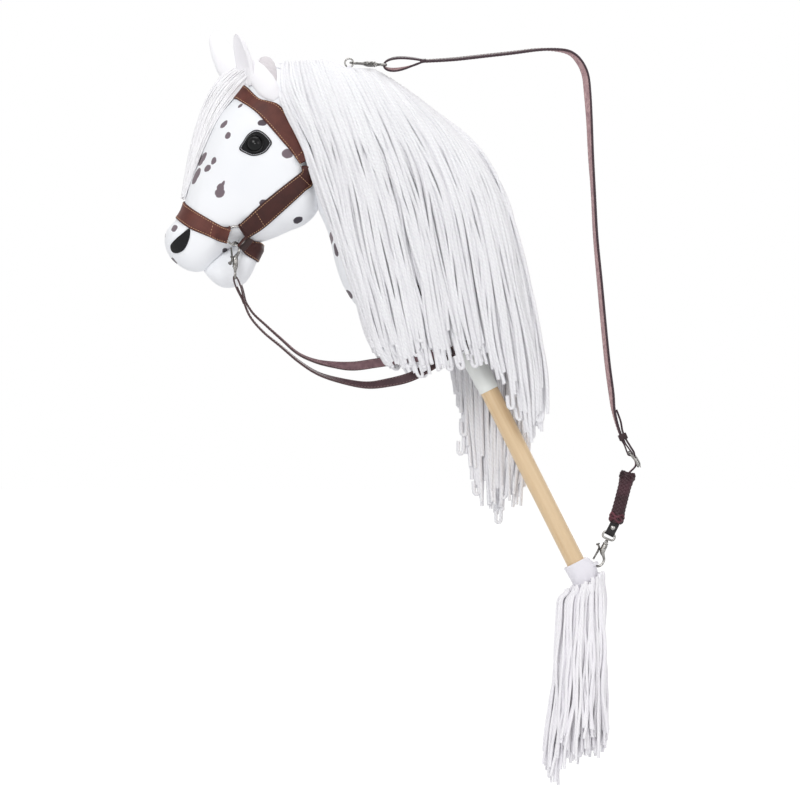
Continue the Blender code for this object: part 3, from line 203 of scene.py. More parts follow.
floor_paint = bpy.data.materials.new("studio_floor")
floor_paint.use_nodes = True
floor_paint.node_tree.nodes.clear()
floor_bench = Bench(floor_paint.node_tree)
matt = floor_bench.node("ShaderNodeBsdfDiffuse", sockets={"Color": (0.8, 0.8, 0.81)})
glow = floor_bench.node("ShaderNodeEmission", sockets={"Color": (1.0, 1.0, 1.0), "Strength": 1.3})
floor_out = floor_paint.node_tree.nodes.new("ShaderNodeOutputMaterial")
floor_bench.join(floor_out.inputs["Surface"], floor_bench.node(
    "ShaderNodeMixShader", sockets={0: shown_directly(floor_bench) * 0.72, 1: matt, 2: glow}))
floor_mesh = bpy.data.meshes.new("floor")
reach = 30
floor_mesh.from_pydata([(-reach, -reach, FLOOR_Z), (reach, -reach, FLOOR_Z), (reach, reach, FLOOR_Z),
                        (-reach, reach, FLOOR_Z)], [], [(0, 1, 2, 3)])
floor_mesh.materials.append(floor_paint)
floor = bpy.data.objects.new("floor", floor_mesh)
bpy.context.scene.collection.objects.link(floor)


# Stick: a turned pine dowel with its grain along it, sanded and thinly lacquered. It is the CAD
# solid, which gets its wood here.

STICK_TILT = math.radians(26.7)
STICK_DOWN = Vector((math.sin(STICK_TILT), 0, -math.cos(STICK_TILT)))
STICK_SIDE = Vector((math.cos(STICK_TILT), 0, math.sin(STICK_TILT)))


def stick_point(along, side=0.0, across=0.0):
    return STICK_DOWN * along + STICK_SIDE * side + ACROSS * across


class Finish(Bench):
    """A material round one Principled shader."""

    def __init__(self, name, roughness=0.5, metallic=0.0, **plain):
        self.material = bpy.data.materials.new(name)
        self.material.use_nodes = True
        super().__init__(self.material.node_tree)
        self.shader = self.tree.nodes["Principled BSDF"]
        self.shader.inputs["Roughness"].default_value = roughness
        self.shader.inputs["Metallic"].default_value = metallic
        for key, value in plain.items():
            label = key.replace("_", " ").title().replace("Ior", "IOR")
            self.shader.inputs[label].default_value = value

    def drive(self, socket, value):
        self.join(self.shader.inputs[socket], value)

    def place(self, turn=(0, 0, 0), stretch=(1, 1, 1)):
        """Object coordinates, turned and stretched."""
        here = self.node("ShaderNodeTexCoord", output="Object")
        turned = self.node("ShaderNodeMapping", sockets={"Vector": here, "Rotation": turn})
        return self.node("ShaderNodeMapping", sockets={"Vector": turned, "Scale": stretch})

    def noise(self, where, scale, detail=2.0, distortion=0.0, roughness=0.5):
        return self.node("ShaderNodeTexNoise", sockets={
            "Vector": where, "Scale": scale, "Detail": detail, "Distortion": distortion,
            "Roughness": roughness})

    def ramp(self, value, *stops):
        return self.node("ShaderNodeValToRGB", {"stops": stops}, {0: value})

    def between(self, value, low, high):
        """0 at low, 1 at high."""
        return self.node("ShaderNodeMapRange", {}, {"Value": value, "From Min": low, "From Max": high})

    def pebbles(self, where, scale, feature="SMOOTH_F1"):
        return self.node("ShaderNodeTexVoronoi", {"feature": feature}, {"Vector": where, "Scale": scale})

    def share_around(self):
        """Share of the way round a skin, from its map."""
        return self.part(self.node("ShaderNodeUVMap", {"uv_map": "sheet"}), "Y")

    def blend(self, share, first, second, way="MIX"):
        return self.node("ShaderNodeMix", {"data_type": "RGBA", "blend_type": way},
                         {"Factor": share, "A": first, "B": second})

    def bump(self, height, distance, strength=1.0, below=None):
        sockets = {"Height": height, "Distance": distance, "Strength": strength}
        if below is not None:
            sockets["Normal"] = below
        bumped = self.node("ShaderNodeBump", sockets=sockets)
        self.drive("Normal", bumped)
        return bumped


def pine():
    wood = Finish("pine_lacquered", 0.42, coat_weight=0.15, coat_roughness=0.35)
    grain_place = wood.place((0, STICK_TILT, 0), (60, 60, 2.2))
    rings = wood.noise(grain_place, 2.2, 3, 0.6)
    fibres = wood.noise(wood.place((0, STICK_TILT, 0), (900, 900, 14)), 1.0, 2)
    patches = wood.noise(wood.place((0, STICK_TILT, 0), (12, 12, 5)), 1.0, 1)
    colour = wood.ramp(rings, (0.3, ink("#e3c9a2")), (0.55, ink("#dcbf95")), (0.72, ink("#cfab7c")))
    colour = wood.blend(fibres * 0.35, colour, ink("#c9a678"))
    colour = wood.blend(patches * 0.3, colour, ink("#e9d2b4"))
    wood.drive("Base Color", colour)
    wood.drive("Roughness", fibres * 0.15 + 0.36)
    wood.bump(fibres, 0.1 * MM, 0.5)
    return wood.material


def dress(node, material):
    """Give a CAD node its material."""
    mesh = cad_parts[node].data
    mesh.materials.clear()
    mesh.materials.append(material)
    for polygon in mesh.polygons:
        polygon.material_index = 0


dress("stick", pine())


# Neck collar: a smooth stretch sleeve pulled over the stick's upper end and the foot of the neck,
# with a narrow turned hem.

COLLAR_TOP = -214 * MM
COLLAR_LOW = -129 * MM


def smooth_path(points, steps, closed=False):
    """Points on a smooth curve through the given vectors."""
    out = []
    last = len(points) if closed else len(points) - 1
    for i in range(last):
        if closed:
            a, b, c, d = (points[(i + k) % len(points)] for k in (-1, 0, 1, 2))
        else:
            a, b, c, d = (points[min(max(i + k, 0), len(points) - 1)] for k in (-1, 0, 1, 2))
        for k in range(steps):
            t = k / steps
            out.append(0.5 * (2 * b + (c - a) * t + (2 * a - 5 * b + 4 * c - d) * t * t
                              + (3 * b - a - 3 * c + d) * t ** 3))
    if not closed:
        out.append(points[-1].copy())
    return out


def through(stations, steps):
    """Smooth run through rows of numbers."""
    return smooth_path([Vector(station) for station in stations], steps)


def through_pixels(pixels, steps):
    return smooth_path([seen(px, py) for px, py in pixels], steps)


def square_to(vector, way):
    """Direction of the part of a vector that is square to a way."""
    return (vector - way * vector.dot(way)).normalized()


def put(name, mesh, *materials, smooth_angle=50):
    """Put a mesh into the scene at the origin with its materials."""
    for material in materials:
        mesh.materials.append(material)
    mesh.shade_smooth()
    mesh.set_sharp_from_angle(angle=math.radians(smooth_angle))
    obj = bpy.data.objects.new(name, mesh)
    bpy.context.scene.collection.objects.link(obj)
    return obj


def wear(piece, body, node=None):
    """Give a piece its body, and hide the CAD node that it replaces."""
    if node:
        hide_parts(node)
    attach(piece, body)


def skin(name, rows, closed=False):
    """Mesh over rings of points. Its map holds the distance along and the share around."""
    count = len(rows[0])
    bm = bmesh.new()
    grid = [[bm.verts.new(p) for p in row] for row in rows]
    sheet_map = bm.loops.layers.uv.new("sheet")
    length = 0.0
    last = len(rows) if closed else len(rows) - 1
    for r in range(last):
        row, after = grid[r], grid[(r + 1) % len(rows)]
        step = (after[0].co - row[0].co).length
        for i in range(count):
            j = (i + 1) % count
            face = bm.faces.new((row[i], row[j], after[j], after[i]))
            for loop, (u, v) in zip(face.loops, ((0, i), (0, i + 1), (1, i + 1), (1, i))):
                loop[sheet_map].uv = (length + u * step, v / count)
        length += step
    if not closed:
        bm.faces.new(grid[0][::-1])
        bm.faces.new(grid[-1])
    bmesh.ops.recalc_face_normals(bm, faces=bm.faces)
    mesh = bpy.data.meshes.new(name)
    bm.to_mesh(mesh)
    bm.free()
    return mesh


def circle_round(centre, first, second, radius, count):
    """Ring of points round a centre; radius is a number or a function of the turn."""
    ring = []
    for i in range(count):
        turn = 2 * math.pi * i / count
        r = radius(turn) if callable(radius) else radius
        ring.append(centre + (first * math.cos(turn) + second * math.sin(turn)) * r)
    return ring


def sleeve_rows(profile, count, ripple=None):
    """Rings round the stick from (along, radius) pairs; ripple adds to the radius by along and turn."""
    rows = []
    for along, radius in profile:
        def rim(turn, along=along, radius=radius):
            return radius + (ripple(along, turn) if ripple else 0)
        rows.append(circle_round(stick_point(along), STICK_SIDE, ACROSS, rim, count))
    return rows


def cloth(name, colour, low_colour, weave=0.00055, roughness=0.85):
    """Fine knitted cloth: a tiny even loop pattern, soft blotches and a light sheen."""
    fabric = Finish(name, roughness, sheen_weight=0.2, sheen_roughness=0.5)
    here = fabric.place()
    loops = fabric.pebbles(here, 1 / weave, "F1")
    fuzz = fabric.noise(here, 1500, 3)
    blotch = fabric.noise(here, 18, 2)
    tone = fabric.blend(blotch, colour, low_colour)
    tone = fabric.blend(loops * 0.25, tone, low_colour)
    fabric.drive("Base Color", tone)
    fabric.bump(loops * -0.5 + fuzz * 0.5, 0.15 * MM, 0.5)
    return fabric, tone


collar_cloth, _ = cloth("collar_knit", ink("#f1f3f0"), ink("#e8ebe7"))


def collar_ripple(along, turn):
    """Slight pull of the cloth along the sleeve."""
    rise = (COLLAR_LOW - along) / (COLLAR_LOW - COLLAR_TOP)
    return 0.25 * MM * rise * math.sin(5 * turn + 9 * rise) + 0.15 * MM * rise * math.sin(11 * turn)


collar_profile = [(COLLAR_LOW + 0.2 * MM, 12.35 * MM), (COLLAR_LOW - 0.1 * MM, 13.1 * MM),
                  (COLLAR_LOW - 1.0 * MM, 13.5 * MM), (COLLAR_LOW - 3.2 * MM, 13.45 * MM),
                  (COLLAR_LOW - 4.0 * MM, 13.2 * MM)]
for step in range(1, 17):
    share = step / 16
    collar_profile.append((COLLAR_LOW - 4 * MM + (COLLAR_TOP - COLLAR_LOW + 4 * MM) * share,
                           (13.25 + 2.6 * share) * MM))
collar_rows = sleeve_rows(collar_profile, 48, collar_ripple)
collar = put("neck_collar_sleeve", skin("neck_collar_sleeve", collar_rows), collar_cloth.material)
wear(collar, "horse", "neck_collar")


# Head, neck and lower jaw: panels of white knitted cloth sewn inside out, turned and stuffed hard.
# The cloth is printed with dark brown spots.

HEAD_START = (-323, 480)
HEAD_PITCH = math.radians(53.8)
HEAD_STATIONS = [
    (-44, 34, 30, 20), (-36, 52, 50, 31), (-20, 61, 62, 38), (0, 64, 72, 43), (26, 65, 81, 47),
    (52, 68, 97, 49), (78, 64, 113, 49), (104, 58, 111, 46), (123, 52, 100, 43), (143, 48, 89, 40),
    (160, 42, 77, 38), (176, 36, 62, 36), (190, 32, 50, 35), (206, 33, 46, 34), (221, 33, 43, 32),
    (234, 26, 39, 27), (243, 14, 28, 18), (247, 4, 16, 9),
]
NECK_STATIONS = [
    (-322, 538, -283, 352, 36), (-265, 533, -268, 317, 43), (-206, 511, -260, 282, 45),
    (-154, 477, -249, 250, 45), (-109, 434, -230, 222, 43), (-76, 386, -203, 200, 40),
    (-56, 330, -174, 182, 36), (-51, 272, -143, 169, 30), (-55, 228, -124, 163, 25),
]
JAW_STATIONS = [
    (-357, 309, -351, 300, 12), (-370, 311, -358, 287, 22), (-388, 306, -367, 266, 25),
    (-405, 295, -379, 252, 25), (-418, 285, -400, 248, 22), (-427, 277, -413, 253, 14),
    (-430, 271, -422, 261, 5),
]
head_down = Vector((-math.cos(HEAD_PITCH), 0, -math.sin(HEAD_PITCH)))
head_back = Vector((math.sin(HEAD_PITCH), 0, -math.cos(HEAD_PITCH)))


def head_place(along, back):
    return Vector((HEAD_START[0] * MM, 0, HEAD_START[1] * MM)) + head_down * along + head_back * back


def full_oval(centre, first, second, radius_first, radius_second, count, fullness=2.0):
    ring = []
    for i in range(count):
        turn = 2 * math.pi * i / count
        c, s = math.cos(turn), math.sin(turn)
        u = math.copysign(abs(c) ** (2 / fullness), c) * radius_first
        v = math.copysign(abs(s) ** (2 / fullness), s) * radius_second
        ring.append(centre + first * u + second * v)
    return ring


head_rows = []
for along, face, throat, half in through(HEAD_STATIONS, 4):
    middle = head_place(along * MM, (throat - face) / 2 * MM)
    head_rows.append(full_oval(middle, head_back, ACROSS, (throat + face) / 2 * MM, half * MM, 48, 2.4))


def ovals_between(stations, count, fullness):
    """Rings that each reach from an upper to a lower point of the plane of symmetry."""
    rows = []
    for upper_x, upper_z, lower_x, lower_z, half in through(stations, 4):
        upper = Vector((upper_x * MM, 0, upper_z * MM))
        lower = Vector((lower_x * MM, 0, lower_z * MM))
        rows.append(full_oval((upper + lower) / 2, (upper - lower).normalized(), ACROSS,
                              (upper - lower).length / 2, half * MM, count, fullness))
    return rows


jaw_rows = ovals_between(JAW_STATIONS, 32, 2.0)
neck_rows = ovals_between(NECK_STATIONS, 48, 2.2)
for along, radius in ((-190, 20), (-184, 17)):
    neck_rows.append(circle_round(stick_point(along * MM), STICK_SIDE, ACROSS, radius * MM, 48))


def final_mesh(obj):
    """Plain mesh of an object with its modifiers worked out, which are then removed."""
    bpy.context.view_layer.update()
    graph = bpy.context.evaluated_depsgraph_get()
    mesh = bpy.data.meshes.new_from_object(obj.evaluated_get(graph))
    obj.modifiers.clear()
    old = obj.data
    obj.data = mesh
    if old.users == 0:
        bpy.data.meshes.remove(old)
    return mesh


STUFFING_PRESSURE = 4
STUFFING_FRAMES = 20


def stuffed(obj, voxel, swell):
    """Blow the cloth up a little from inside, as stuffing does, and smooth it."""
    step = obj.modifiers.new("even_faces", "REMESH")
    step.mode = "VOXEL"
    step.voxel_size = voxel
    final_mesh(obj)
    before = [v.co.copy() for v in obj.data.vertices]
    blow = obj.modifiers.new("stuffing", "CLOTH")
    blow.settings.use_pressure = True
    blow.settings.uniform_pressure_force = STUFFING_PRESSURE
    blow.settings.effector_weights.gravity = 0
    blow.settings.quality = 4
    blow.point_cache.frame_start = 1
    blow.point_cache.frame_end = STUFFING_FRAMES
    for number in range(1, STUFFING_FRAMES + 1):
        bpy.context.scene.frame_set(number)
    final_mesh(obj)
    bpy.context.scene.frame_set(1)
    for vertex, rest in zip(obj.data.vertices, before):
        move = vertex.co - rest
        if move.length > swell:
            vertex.co = rest + move * (swell / move.length)
    ease = obj.modifiers.new("ease", "SMOOTH")
    ease.factor = 0.5
    ease.iterations = 4
    finer = obj.modifiers.new("finer", "SUBSURF")
    finer.levels = finer.render_levels = 1
    final_mesh(obj)
    obj.data.shade_smooth()
    return obj


# Each spot: middle in pixels, length and width in pixels, slant in degrees, darkness
SPOTS = [
    (239.9, 105.2, 6, 3, 40, 0.2), (223.6, 123.7, 10, 4.4, 48, 0.3), (227.7, 135.4, 7.5, 5.4, 58, 0.3),
    (262.4, 122.8, 9.5, 6, 8, 0.6), (201.6, 158, 15.5, 4.8, 60, 0.2), (213.4, 160.7, 8, 5, 62, 0.3),
    (207.1, 167.8, 8, 5.4, 48, 0.25), (195.5, 175.2, 18, 5.2, 64, 0.25), (219.7, 192.6, 10.5, 9.4, 40, 0),
    (220.4, 188.2, 10, 7.4, 75, 0), (222.6, 184.4, 8, 3.6, 66, 0), (287.6, 153.7, 11.4, 10, 10, 0.1),
    (263.4, 202.9, 8.4, 7, 0, 0.5), (297.8, 219.5, 9.8, 6.2, 28, 1),
    (173.8, 227.7, 7.5, 5.6, 52, 0.1), (172.7, 260.6, 9, 3.4, -48, 0.5),
    (224.2, 249.5, 5.6, 3.8, 30, 1), (163, 235, 7, 1.8, 78, 0.5), (330.9, 237.5, 12, 4.4, 88, 0.4),
    (336, 249.5, 14, 4.5, -80, 0.5), (348.6, 293.9, 10.5, 5.4, -56, 0.5), (298, 128.5, 15, 4, -62, 1),
    (320.5, 192, 38, 5, -73, 1), (352, 205, 16, 9, 60, 0.4), (372, 282, 9, 5, -70, 0.4),
    (312, 105, 12, 8, 30, 0.4), (372, 250, 15, 10, 40, 0.3), (392, 180, 14, 9, 70, 0.5),
    (430, 200, 18, 9, 30, 0.5), (420, 290, 14, 10, -30, 0.5), (460, 260, 15, 9, 20, 0.5),
    (447, 309, 16, 10, 50, 0.7), (378, 310, 12, 8, 20, 0.5), (360, 110, 16, 10, 10, 0.5),
]
# On the right side the same print falls a little differently
RIGHT_SHIFT = (7, -9)
RIGHT_TURN = 25
SPOT_OUT = 45 * MM
SPOT_SHADE_REACH = 1.3


def spotted_cloth():
    fabric, tone = cloth("spotted_knit", ink("#f9fafc"), ink("#f3f5f9"))
    here = fabric.node("ShaderNodeTexCoord", output="Object")
    wander = fabric.node("ShaderNodeTexNoise", sockets={"Vector": here, "Scale": 160.0, "Detail": 1.0},
                         output="Color")
    wander = fabric.node("ShaderNodeVectorMath", {"operation": "SUBTRACT"}, {0: wander, 1: (0.5, 0.5, 0.5)})
    wander = fabric.node("ShaderNodeVectorMath", {"operation": "SCALE"}, {0: wander, "Scale": 2.2 * MM})
    place = fabric.node("ShaderNodeVectorMath", {"operation": "ADD"}, {0: here, 1: wander})
    right = fabric.maths("GREATER_THAN", fabric.part(here, "Y"), 0.0)
    sides = []
    for shift, turn in (((0, 0), 0), (RIGHT_SHIFT, RIGHT_TURN)):
        nearest = None
        darkness = None
        for px, py, length, width, slant, dark in SPOTS:
            middle = seen(px + shift[0], py + shift[1], SPOT_OUT)
            oval = fabric.node("ShaderNodeMapping", {"vector_type": "TEXTURE"}, {
                "Vector": place, "Location": tuple(middle),
                "Rotation": (0, -math.radians(slant + turn), 0),
                "Scale": (length / 2 * PIXEL, 1000.0, width / 2 * PIXEL)})
            reach = fabric.node("ShaderNodeVectorMath", {"operation": "LENGTH"}, {0: oval}, output="Value")
            if nearest is None:
                nearest = reach
                darkness = fabric.maths("LESS_THAN", reach, SPOT_SHADE_REACH) * dark
            else:
                nearest = fabric.maths("MINIMUM", nearest, reach)
                if dark >= 0.5:
                    darkness = darkness + fabric.maths("LESS_THAN", reach, SPOT_SHADE_REACH) * dark
        sides.append((nearest, darkness))
    (left_near, left_dark), (right_near, right_dark) = sides
    near = left_near * (1 - right) + right_near * right
    dark = left_dark * (1 - right) + right_dark * right
    mask = fabric.node("ShaderNodeMapRange", {"interpolation_type": "SMOOTHSTEP"},
                       {"Value": near, "From Min": 1.08, "From Max": 0.9, "To Min": 0.0, "To Max": 1.0})
    spot = fabric.blend(dark, ink("#75676e"), ink("#37303a"))
    fabric.drive("Base Color", fabric.blend(mask, tone, spot))
    return fabric.material


SPOTTED = spotted_cloth()
head = stuffed(put("head_cover", skin("head_cover", head_rows), SPOTTED), 5 * MM, 2 * MM)
neck = stuffed(put("neck_cover", skin("neck_cover", neck_rows), SPOTTED), 5 * MM, 1.5 * MM)
jaw = stuffed(put("lower_jaw_cover", skin("lower_jaw_cover", jaw_rows), SPOTTED), 3 * MM, 1.5 * MM)
for piece, node in ((head, "head"), (neck, "neck"), (jaw, "lower_jaw")):
    wear(piece, "horse", node)


# Tail sleeve and its loop: a doubled band of white cotton with a rolled upper edge, pulled over the
# stick's end and puckered where the loop draws it up. The loop is narrow white webbing sewn into it.

SLEEVE_TOP = 121 * MM
SLEEVE_LOW = 152 * MM
SLEEVE_RADIUS = 16.4 * MM


def sleeve_pucker(along, turn):
    """The band's fullness: it flares towards the loop and creases at the front edge."""
    fall = (along - SLEEVE_TOP) / (SLEEVE_LOW - SLEEVE_TOP)
    towards_loop = max(0.0, math.cos(turn)) ** 2
    flare = 5.2 * MM * towards_loop * math.sin(math.pi * min(max(fall, 0), 1)) ** 0.8
    creases = 0.35 * MM * math.sin(9 * turn + 3 * fall) * fall + 0.25 * MM * math.sin(4 * turn - 2)
    lip = 1.6 * MM * max(0.0, math.cos(turn - math.pi)) ** 6 * (1 - fall) ** 2
    return flare + creases + lip


white_cotton, _ = cloth("white_cotton", ink("#f2f1f6"), ink("#e9e6ee"), 0.0007)
band_profile = [(SLEEVE_TOP + 2.5 * MM, 12.6 * MM), (SLEEVE_TOP + 0.6 * MM, 13.4 * MM),
                (SLEEVE_TOP, 14.6 * MM), (SLEEVE_TOP + 0.5 * MM, 15.8 * MM),
                (SLEEVE_TOP + 1.6 * MM, SLEEVE_RADIUS), (SLEEVE_TOP + 3.4 * MM, SLEEVE_RADIUS - 0.4 * MM)]
for step in range(1, 13):
    share = step / 12
    band_profile.append((SLEEVE_TOP + 3.4 * MM + (SLEEVE_LOW - SLEEVE_TOP - 4.4 * MM) * share,
                         SLEEVE_RADIUS - 0.4 * MM + 0.6 * MM * share))
band_profile += [(SLEEVE_LOW, SLEEVE_RADIUS - 0.6 * MM), (SLEEVE_LOW - 0.2 * MM, 12.6 * MM)]
tail_band = put("tail_sleeve_band", skin("tail_sleeve_band", sleeve_rows(band_profile, 72, sleeve_pucker)),
                white_cotton.material)
wear(tail_band, "horse", "tail_sleeve")


def box_round(centre, first, second, half_first, half_second, corner, steps=3):
    """Ring of points round an oblong with rounded corners."""
    ring = []
    for turn in range(4):
        sign_first, sign_second = ((1, 1), (-1, 1), (-1, -1), (1, -1))[turn]
        for k in range(steps):
            angle = math.radians(90 * turn + 90 * k / (steps - 1))
            ring.append(centre + first * (sign_first * (half_first - corner) + corner * math.cos(angle))
                        + second * (sign_second * (half_second - corner) + corner * math.sin(angle)))
    return ring


def along_path(points, closed=False):
    """Direction of a path at each of its points."""
    count = len(points)
    ways = []
    for i in range(count):
        before = points[i - 1] if closed or i else points[0]
        after = points[(i + 1) % count] if closed or i < count - 1 else points[-1]
        ways.append((after - before).normalized())
    return ways


def strap_rows(points, marks, width, thick, closed=False, corner=0.35):
    """Cross sections of a flat strap; marks gives the way of its width at each point."""
    rows = []
    for i, (point, way) in enumerate(zip(points, along_path(points, closed))):
        mark = square_to(marks[i], way)
        half = (width[i] if isinstance(width, list) else width) / 2
        rows.append(box_round(point, mark, way.cross(mark), half, thick / 2, thick * corner))
    return rows


webbing, _ = cloth("white_webbing", ink("#f4f3f6"), ink("#dedce4"), 0.0009)
LOOP_OUTLINE = [(-10.5, 0.5), (-9.4, 0.72), (-6.5, 0.93), (0, 1.0), (6.5, 0.93), (9.4, 0.72), (10.5, 0.5)]
# Where the lower snap's nose sits in the loop, and which way the snap points
lower_nose = Vector((81, 0, -113)) * MM
lower_way = Vector((0.39, 0, 0.92)).normalized()
loop_centre = lower_nose + lower_way * 4.99 * MM
loop_path = smooth_path([stick_point(loop_centre.dot(STICK_DOWN), loop_centre.dot(STICK_SIDE) * out, y * MM)
                         for y, out in LOOP_OUTLINE], 6)
tail_loop = put("tail_loop_webbing",
                skin("tail_loop_webbing", strap_rows(loop_path, [STICK_DOWN] * len(loop_path), 4.2 * MM,
                                                     1.4 * MM)), webbing.material)
wear(tail_loop, "horse", "tail_loop")


# Ears: two panels of white plush sewn round the edge and turned, folded into a cup and sewn to the
# poll in front of a soft lobe of the same plush. A tuft of fleece fills the poll between them.

BACKBONE = [(0.0, 11, 6.5), (0.12, 14, 7.5), (0.28, 16, 7.5), (0.45, 16, 6.8), (0.62, 14.6, 5.8),
            (0.78, 12, 4.6), (0.9, 8.8, 3.4), (0.97, 5.6, 2.2), (1.0, 2.4, 1.2)]
EAR_ENDS = {"left": ((246.5, 86, 22), (236.5, 34, 36)), "right": ((233, 80, 24), (211, 29.5, 40))}
EAR_HOLLOW = {"left": (-0.74, -0.66, 0.1), "right": (-0.3, 0.95, 0.1)}


def plush(name, light, low, deep, fineness=900, share=0.25):
    fabric, tone = cloth(name, light, low, 0.0009, 0.95)
    pile = fabric.noise(fabric.place(), fineness, 4, 0.4)
    fabric.drive("Base Color", fabric.blend(pile * share, tone, deep))
    fabric.bump(pile, 0.5 * MM, 0.6)
    return fabric.material


WHITE_PLUSH = plush("white_plush", ink("#fcfcfd"), ink("#f4f2f6"), ink("#e3e0e6"))
# The poll tuft's fleece is pinkish grey. Its darker, greyer tone and dark pile are partly painted shade from
# the hollow between the ears.
SHADED_POLL_FUR = plush("poll_fur", ink("#ebe7e9"), ink("#dcd7da"), ink("#9d9598"), 260, 0.5)
# Lobe behind the ear: middle in pixels, half length and how far out, in millimetres
LOBE_STATIONS = [(251, 64, 8, 22), (256, 72, 13, 27), (263, 82, 15, 34), (270, 92, 14, 39),
                 (277, 101, 7, 41)]
# Poll tuft: across, middle in pixels, half length and half height in pixels
POLL_STATIONS = [(-37, 271, 90, 3, 5), (-33, 269, 84, 9, 13), (-22, 266.5, 79, 12, 19),
                 (0, 265.5, 77, 13, 21), (22, 266.5, 79, 12, 19), (33, 269, 84, 9, 13), (37, 271, 90, 3, 5)]


def ear_rows(side):
    """Cross sections of a cupped leaf, its hollow turned forwards and outwards."""
    sign = SIDES[side]
    (base_px, base_py, base_out), (tip_px, tip_py, tip_out) = EAR_ENDS[side]
    base = seen(base_px, base_py, sign * base_out * MM)
    tip = seen(tip_px, tip_py, sign * tip_out * MM)
    axis = (tip - base).normalized()
    forward = Vector(EAR_HOLLOW[side])
    forward = square_to(forward, axis)
    wide = axis.cross(forward)
    rows = []
    for share, half, depth in through(BACKBONE, 3):
        centre = base + (tip - base) * share - forward * (3 * MM * math.sin(math.pi * share))
        wall = min(4.6, half * 0.75, depth * 0.95) * MM
        turns = [math.radians(-96 + 12 * i) for i in range(17)]
        outer = [centre + wide * (half * MM * math.sin(turn)) - forward * (depth * MM * math.cos(turn))
                 for turn in turns]
        inner = [centre + wide * ((half * MM - wall * 0.5) * math.sin(turn) * 0.92)
                 - forward * (depth * MM * math.cos(turn) - wall) for turn in turns[1:-1]]
        rows.append(outer + inner[::-1])
    return rows


def lobe_rows(sign):
    """Soft rounded lobe of plush behind the ear, over the poll."""
    rows = []
    for px, py, half, out in through(LOBE_STATIONS, 4):
        centre = seen(px, py)
        centre.y = sign * out * MM
        rows.append(full_oval(centre, Vector((0.8, 0, 0.6)), ACROSS, half * MM, half * 0.55 * MM, 24))
    return rows


def padded_form(name, rows, material):
    """Small stuffed piece that rides on the head."""
    obj = stuffed(put(name, skin(name, rows), material), 2 * MM, 1 * MM)
    wear(obj, "horse")


for side, sign in SIDES.items():
    ear = put("ear_%s_plush" % side, skin("ear", ear_rows(side)), WHITE_PLUSH, smooth_angle=80)
    ease = ear.modifiers.new("soft", "SUBSURF")
    ease.levels = ease.render_levels = 1
    final_mesh(ear)
    ear.data.shade_smooth()
    wear(ear, "horse", "ear_" + side)
    padded_form("poll_lobe_" + side, lobe_rows(sign), WHITE_PLUSH)
tuft_rows = [full_oval(seen(px, py, y * MM), ALONG, UP, wide * PIXEL, high * PIXEL, 28)
             for y, px, py, wide, high in through(POLL_STATIONS, 4)]
padded_form("poll_tuft", tuft_rows, SHADED_POLL_FUR)


# Eyes and nostrils: black felt shapes sewn to the cloth with a grey running stitch, and in each eye
# felt a glossy black plastic eye with a raised rim, pressed in on its post.

EYE_PLACE = (254.7, 143.5)
EYE_RADIUS = 12.3 * MM
EYE_ALMOND = [(239.3, 149.0), (243.5, 141.0), (248.5, 133.8), (256.5, 129.8), (264.5, 133.2),
              (271.7, 141.7), (269.5, 147.5), (264.0, 153.2), (254.0, 156.0), (246.0, 153.6)]
NOSTRIL_DROP = [(189.4, 228.4), (182.5, 233.5), (175.5, 239.5), (170.8, 245.6), (172.5, 251.6),
                (178, 252.9), (184.2, 249.4), (188.6, 241.0), (190.2, 234.0)]
FELT_THICK = 1.3 * MM


def skin_tree(*objects):
    """Search tree over the surfaces of pieces."""
    points, faces = [], []
    for obj in objects:
        start = len(points)
        points += [v.co.copy() for v in obj.data.vertices]
        faces += [[start + i for i in p.vertices] for p in obj.data.polygons]
    return BVHTree.FromPolygons(points, faces)


head_tree = skin_tree(head)
body_tree = skin_tree(head, neck, jaw)


def on_flank(tree, px, py, sign, lift=0.0):
    """Place on a flank behind a pixel of the photograph, and the way out of the surface."""
    hit = seen(px, py, sign * 40 * MM)
    for _ in range(2):
        flat = seen(px, py, hit.y)
        near = tree.ray_cast(Vector((flat.x, sign * 0.5, flat.z)), Vector((0, -sign, 0)))
        if near[0] is None:
            near = tree.find_nearest(seen(px, py, sign * 20 * MM))
        hit, normal = near[0], near[1]
    if normal.y * sign < 0:
        normal = -normal
    return hit + normal * lift, normal


def felt_shape(name, outline, sign, material):
    """Flat felt shape that follows the flank, thick at the edge and closed underneath."""
    edge = smooth_path([Vector((px, 0, py)) for px, py in outline], 6, closed=True)
    middle = sum(edge, Vector()) / len(edge)
    layers = []
    for share, lift in [(0.05, -0.3), (0.5, -0.3), (0.97, -0.3), (1.0, 0.2), (1.0, 0.8), (0.985, 1.15),
                        (0.95, 1.3), (0.8, 1.3), (0.5, 1.3), (0.05, 1.3)]:
        layer = []
        for point in edge:
            place = middle + (point - middle) * share
            layer.append(on_flank(head_tree, place.x, place.z, sign, lift / 1.3 * FELT_THICK)[0])
        layers.append(layer)
    return put(name, skin(name, layers), material, smooth_angle=60)


def felt():
    fabric = Finish("black_felt", 0.95, specular_ior_level=0.3, sheen_weight=0.08, sheen_roughness=0.6)
    fibres = fabric.noise(fabric.place((0.3, 0.2, 0.5), (1, 1, 3)), 900, 4, 1.2)
    fabric.drive("Base Color", fabric.ramp(fibres, (0.3, ink("#0e0e0f")), (0.62, ink("#1b1b1d")),
                                           (0.85, ink("#2c2c2f"))))
    fabric.bump(fibres, 0.3 * MM, 0.7)
    return fabric.material


def thread(name, colour, dark):
    """Twisted sewing thread."""
    yarn = Finish(name, 0.7)
    twist = yarn.noise(yarn.place(), 2500, 1)
    yarn.drive("Base Color", yarn.blend(twist, colour, dark))
    return yarn.material


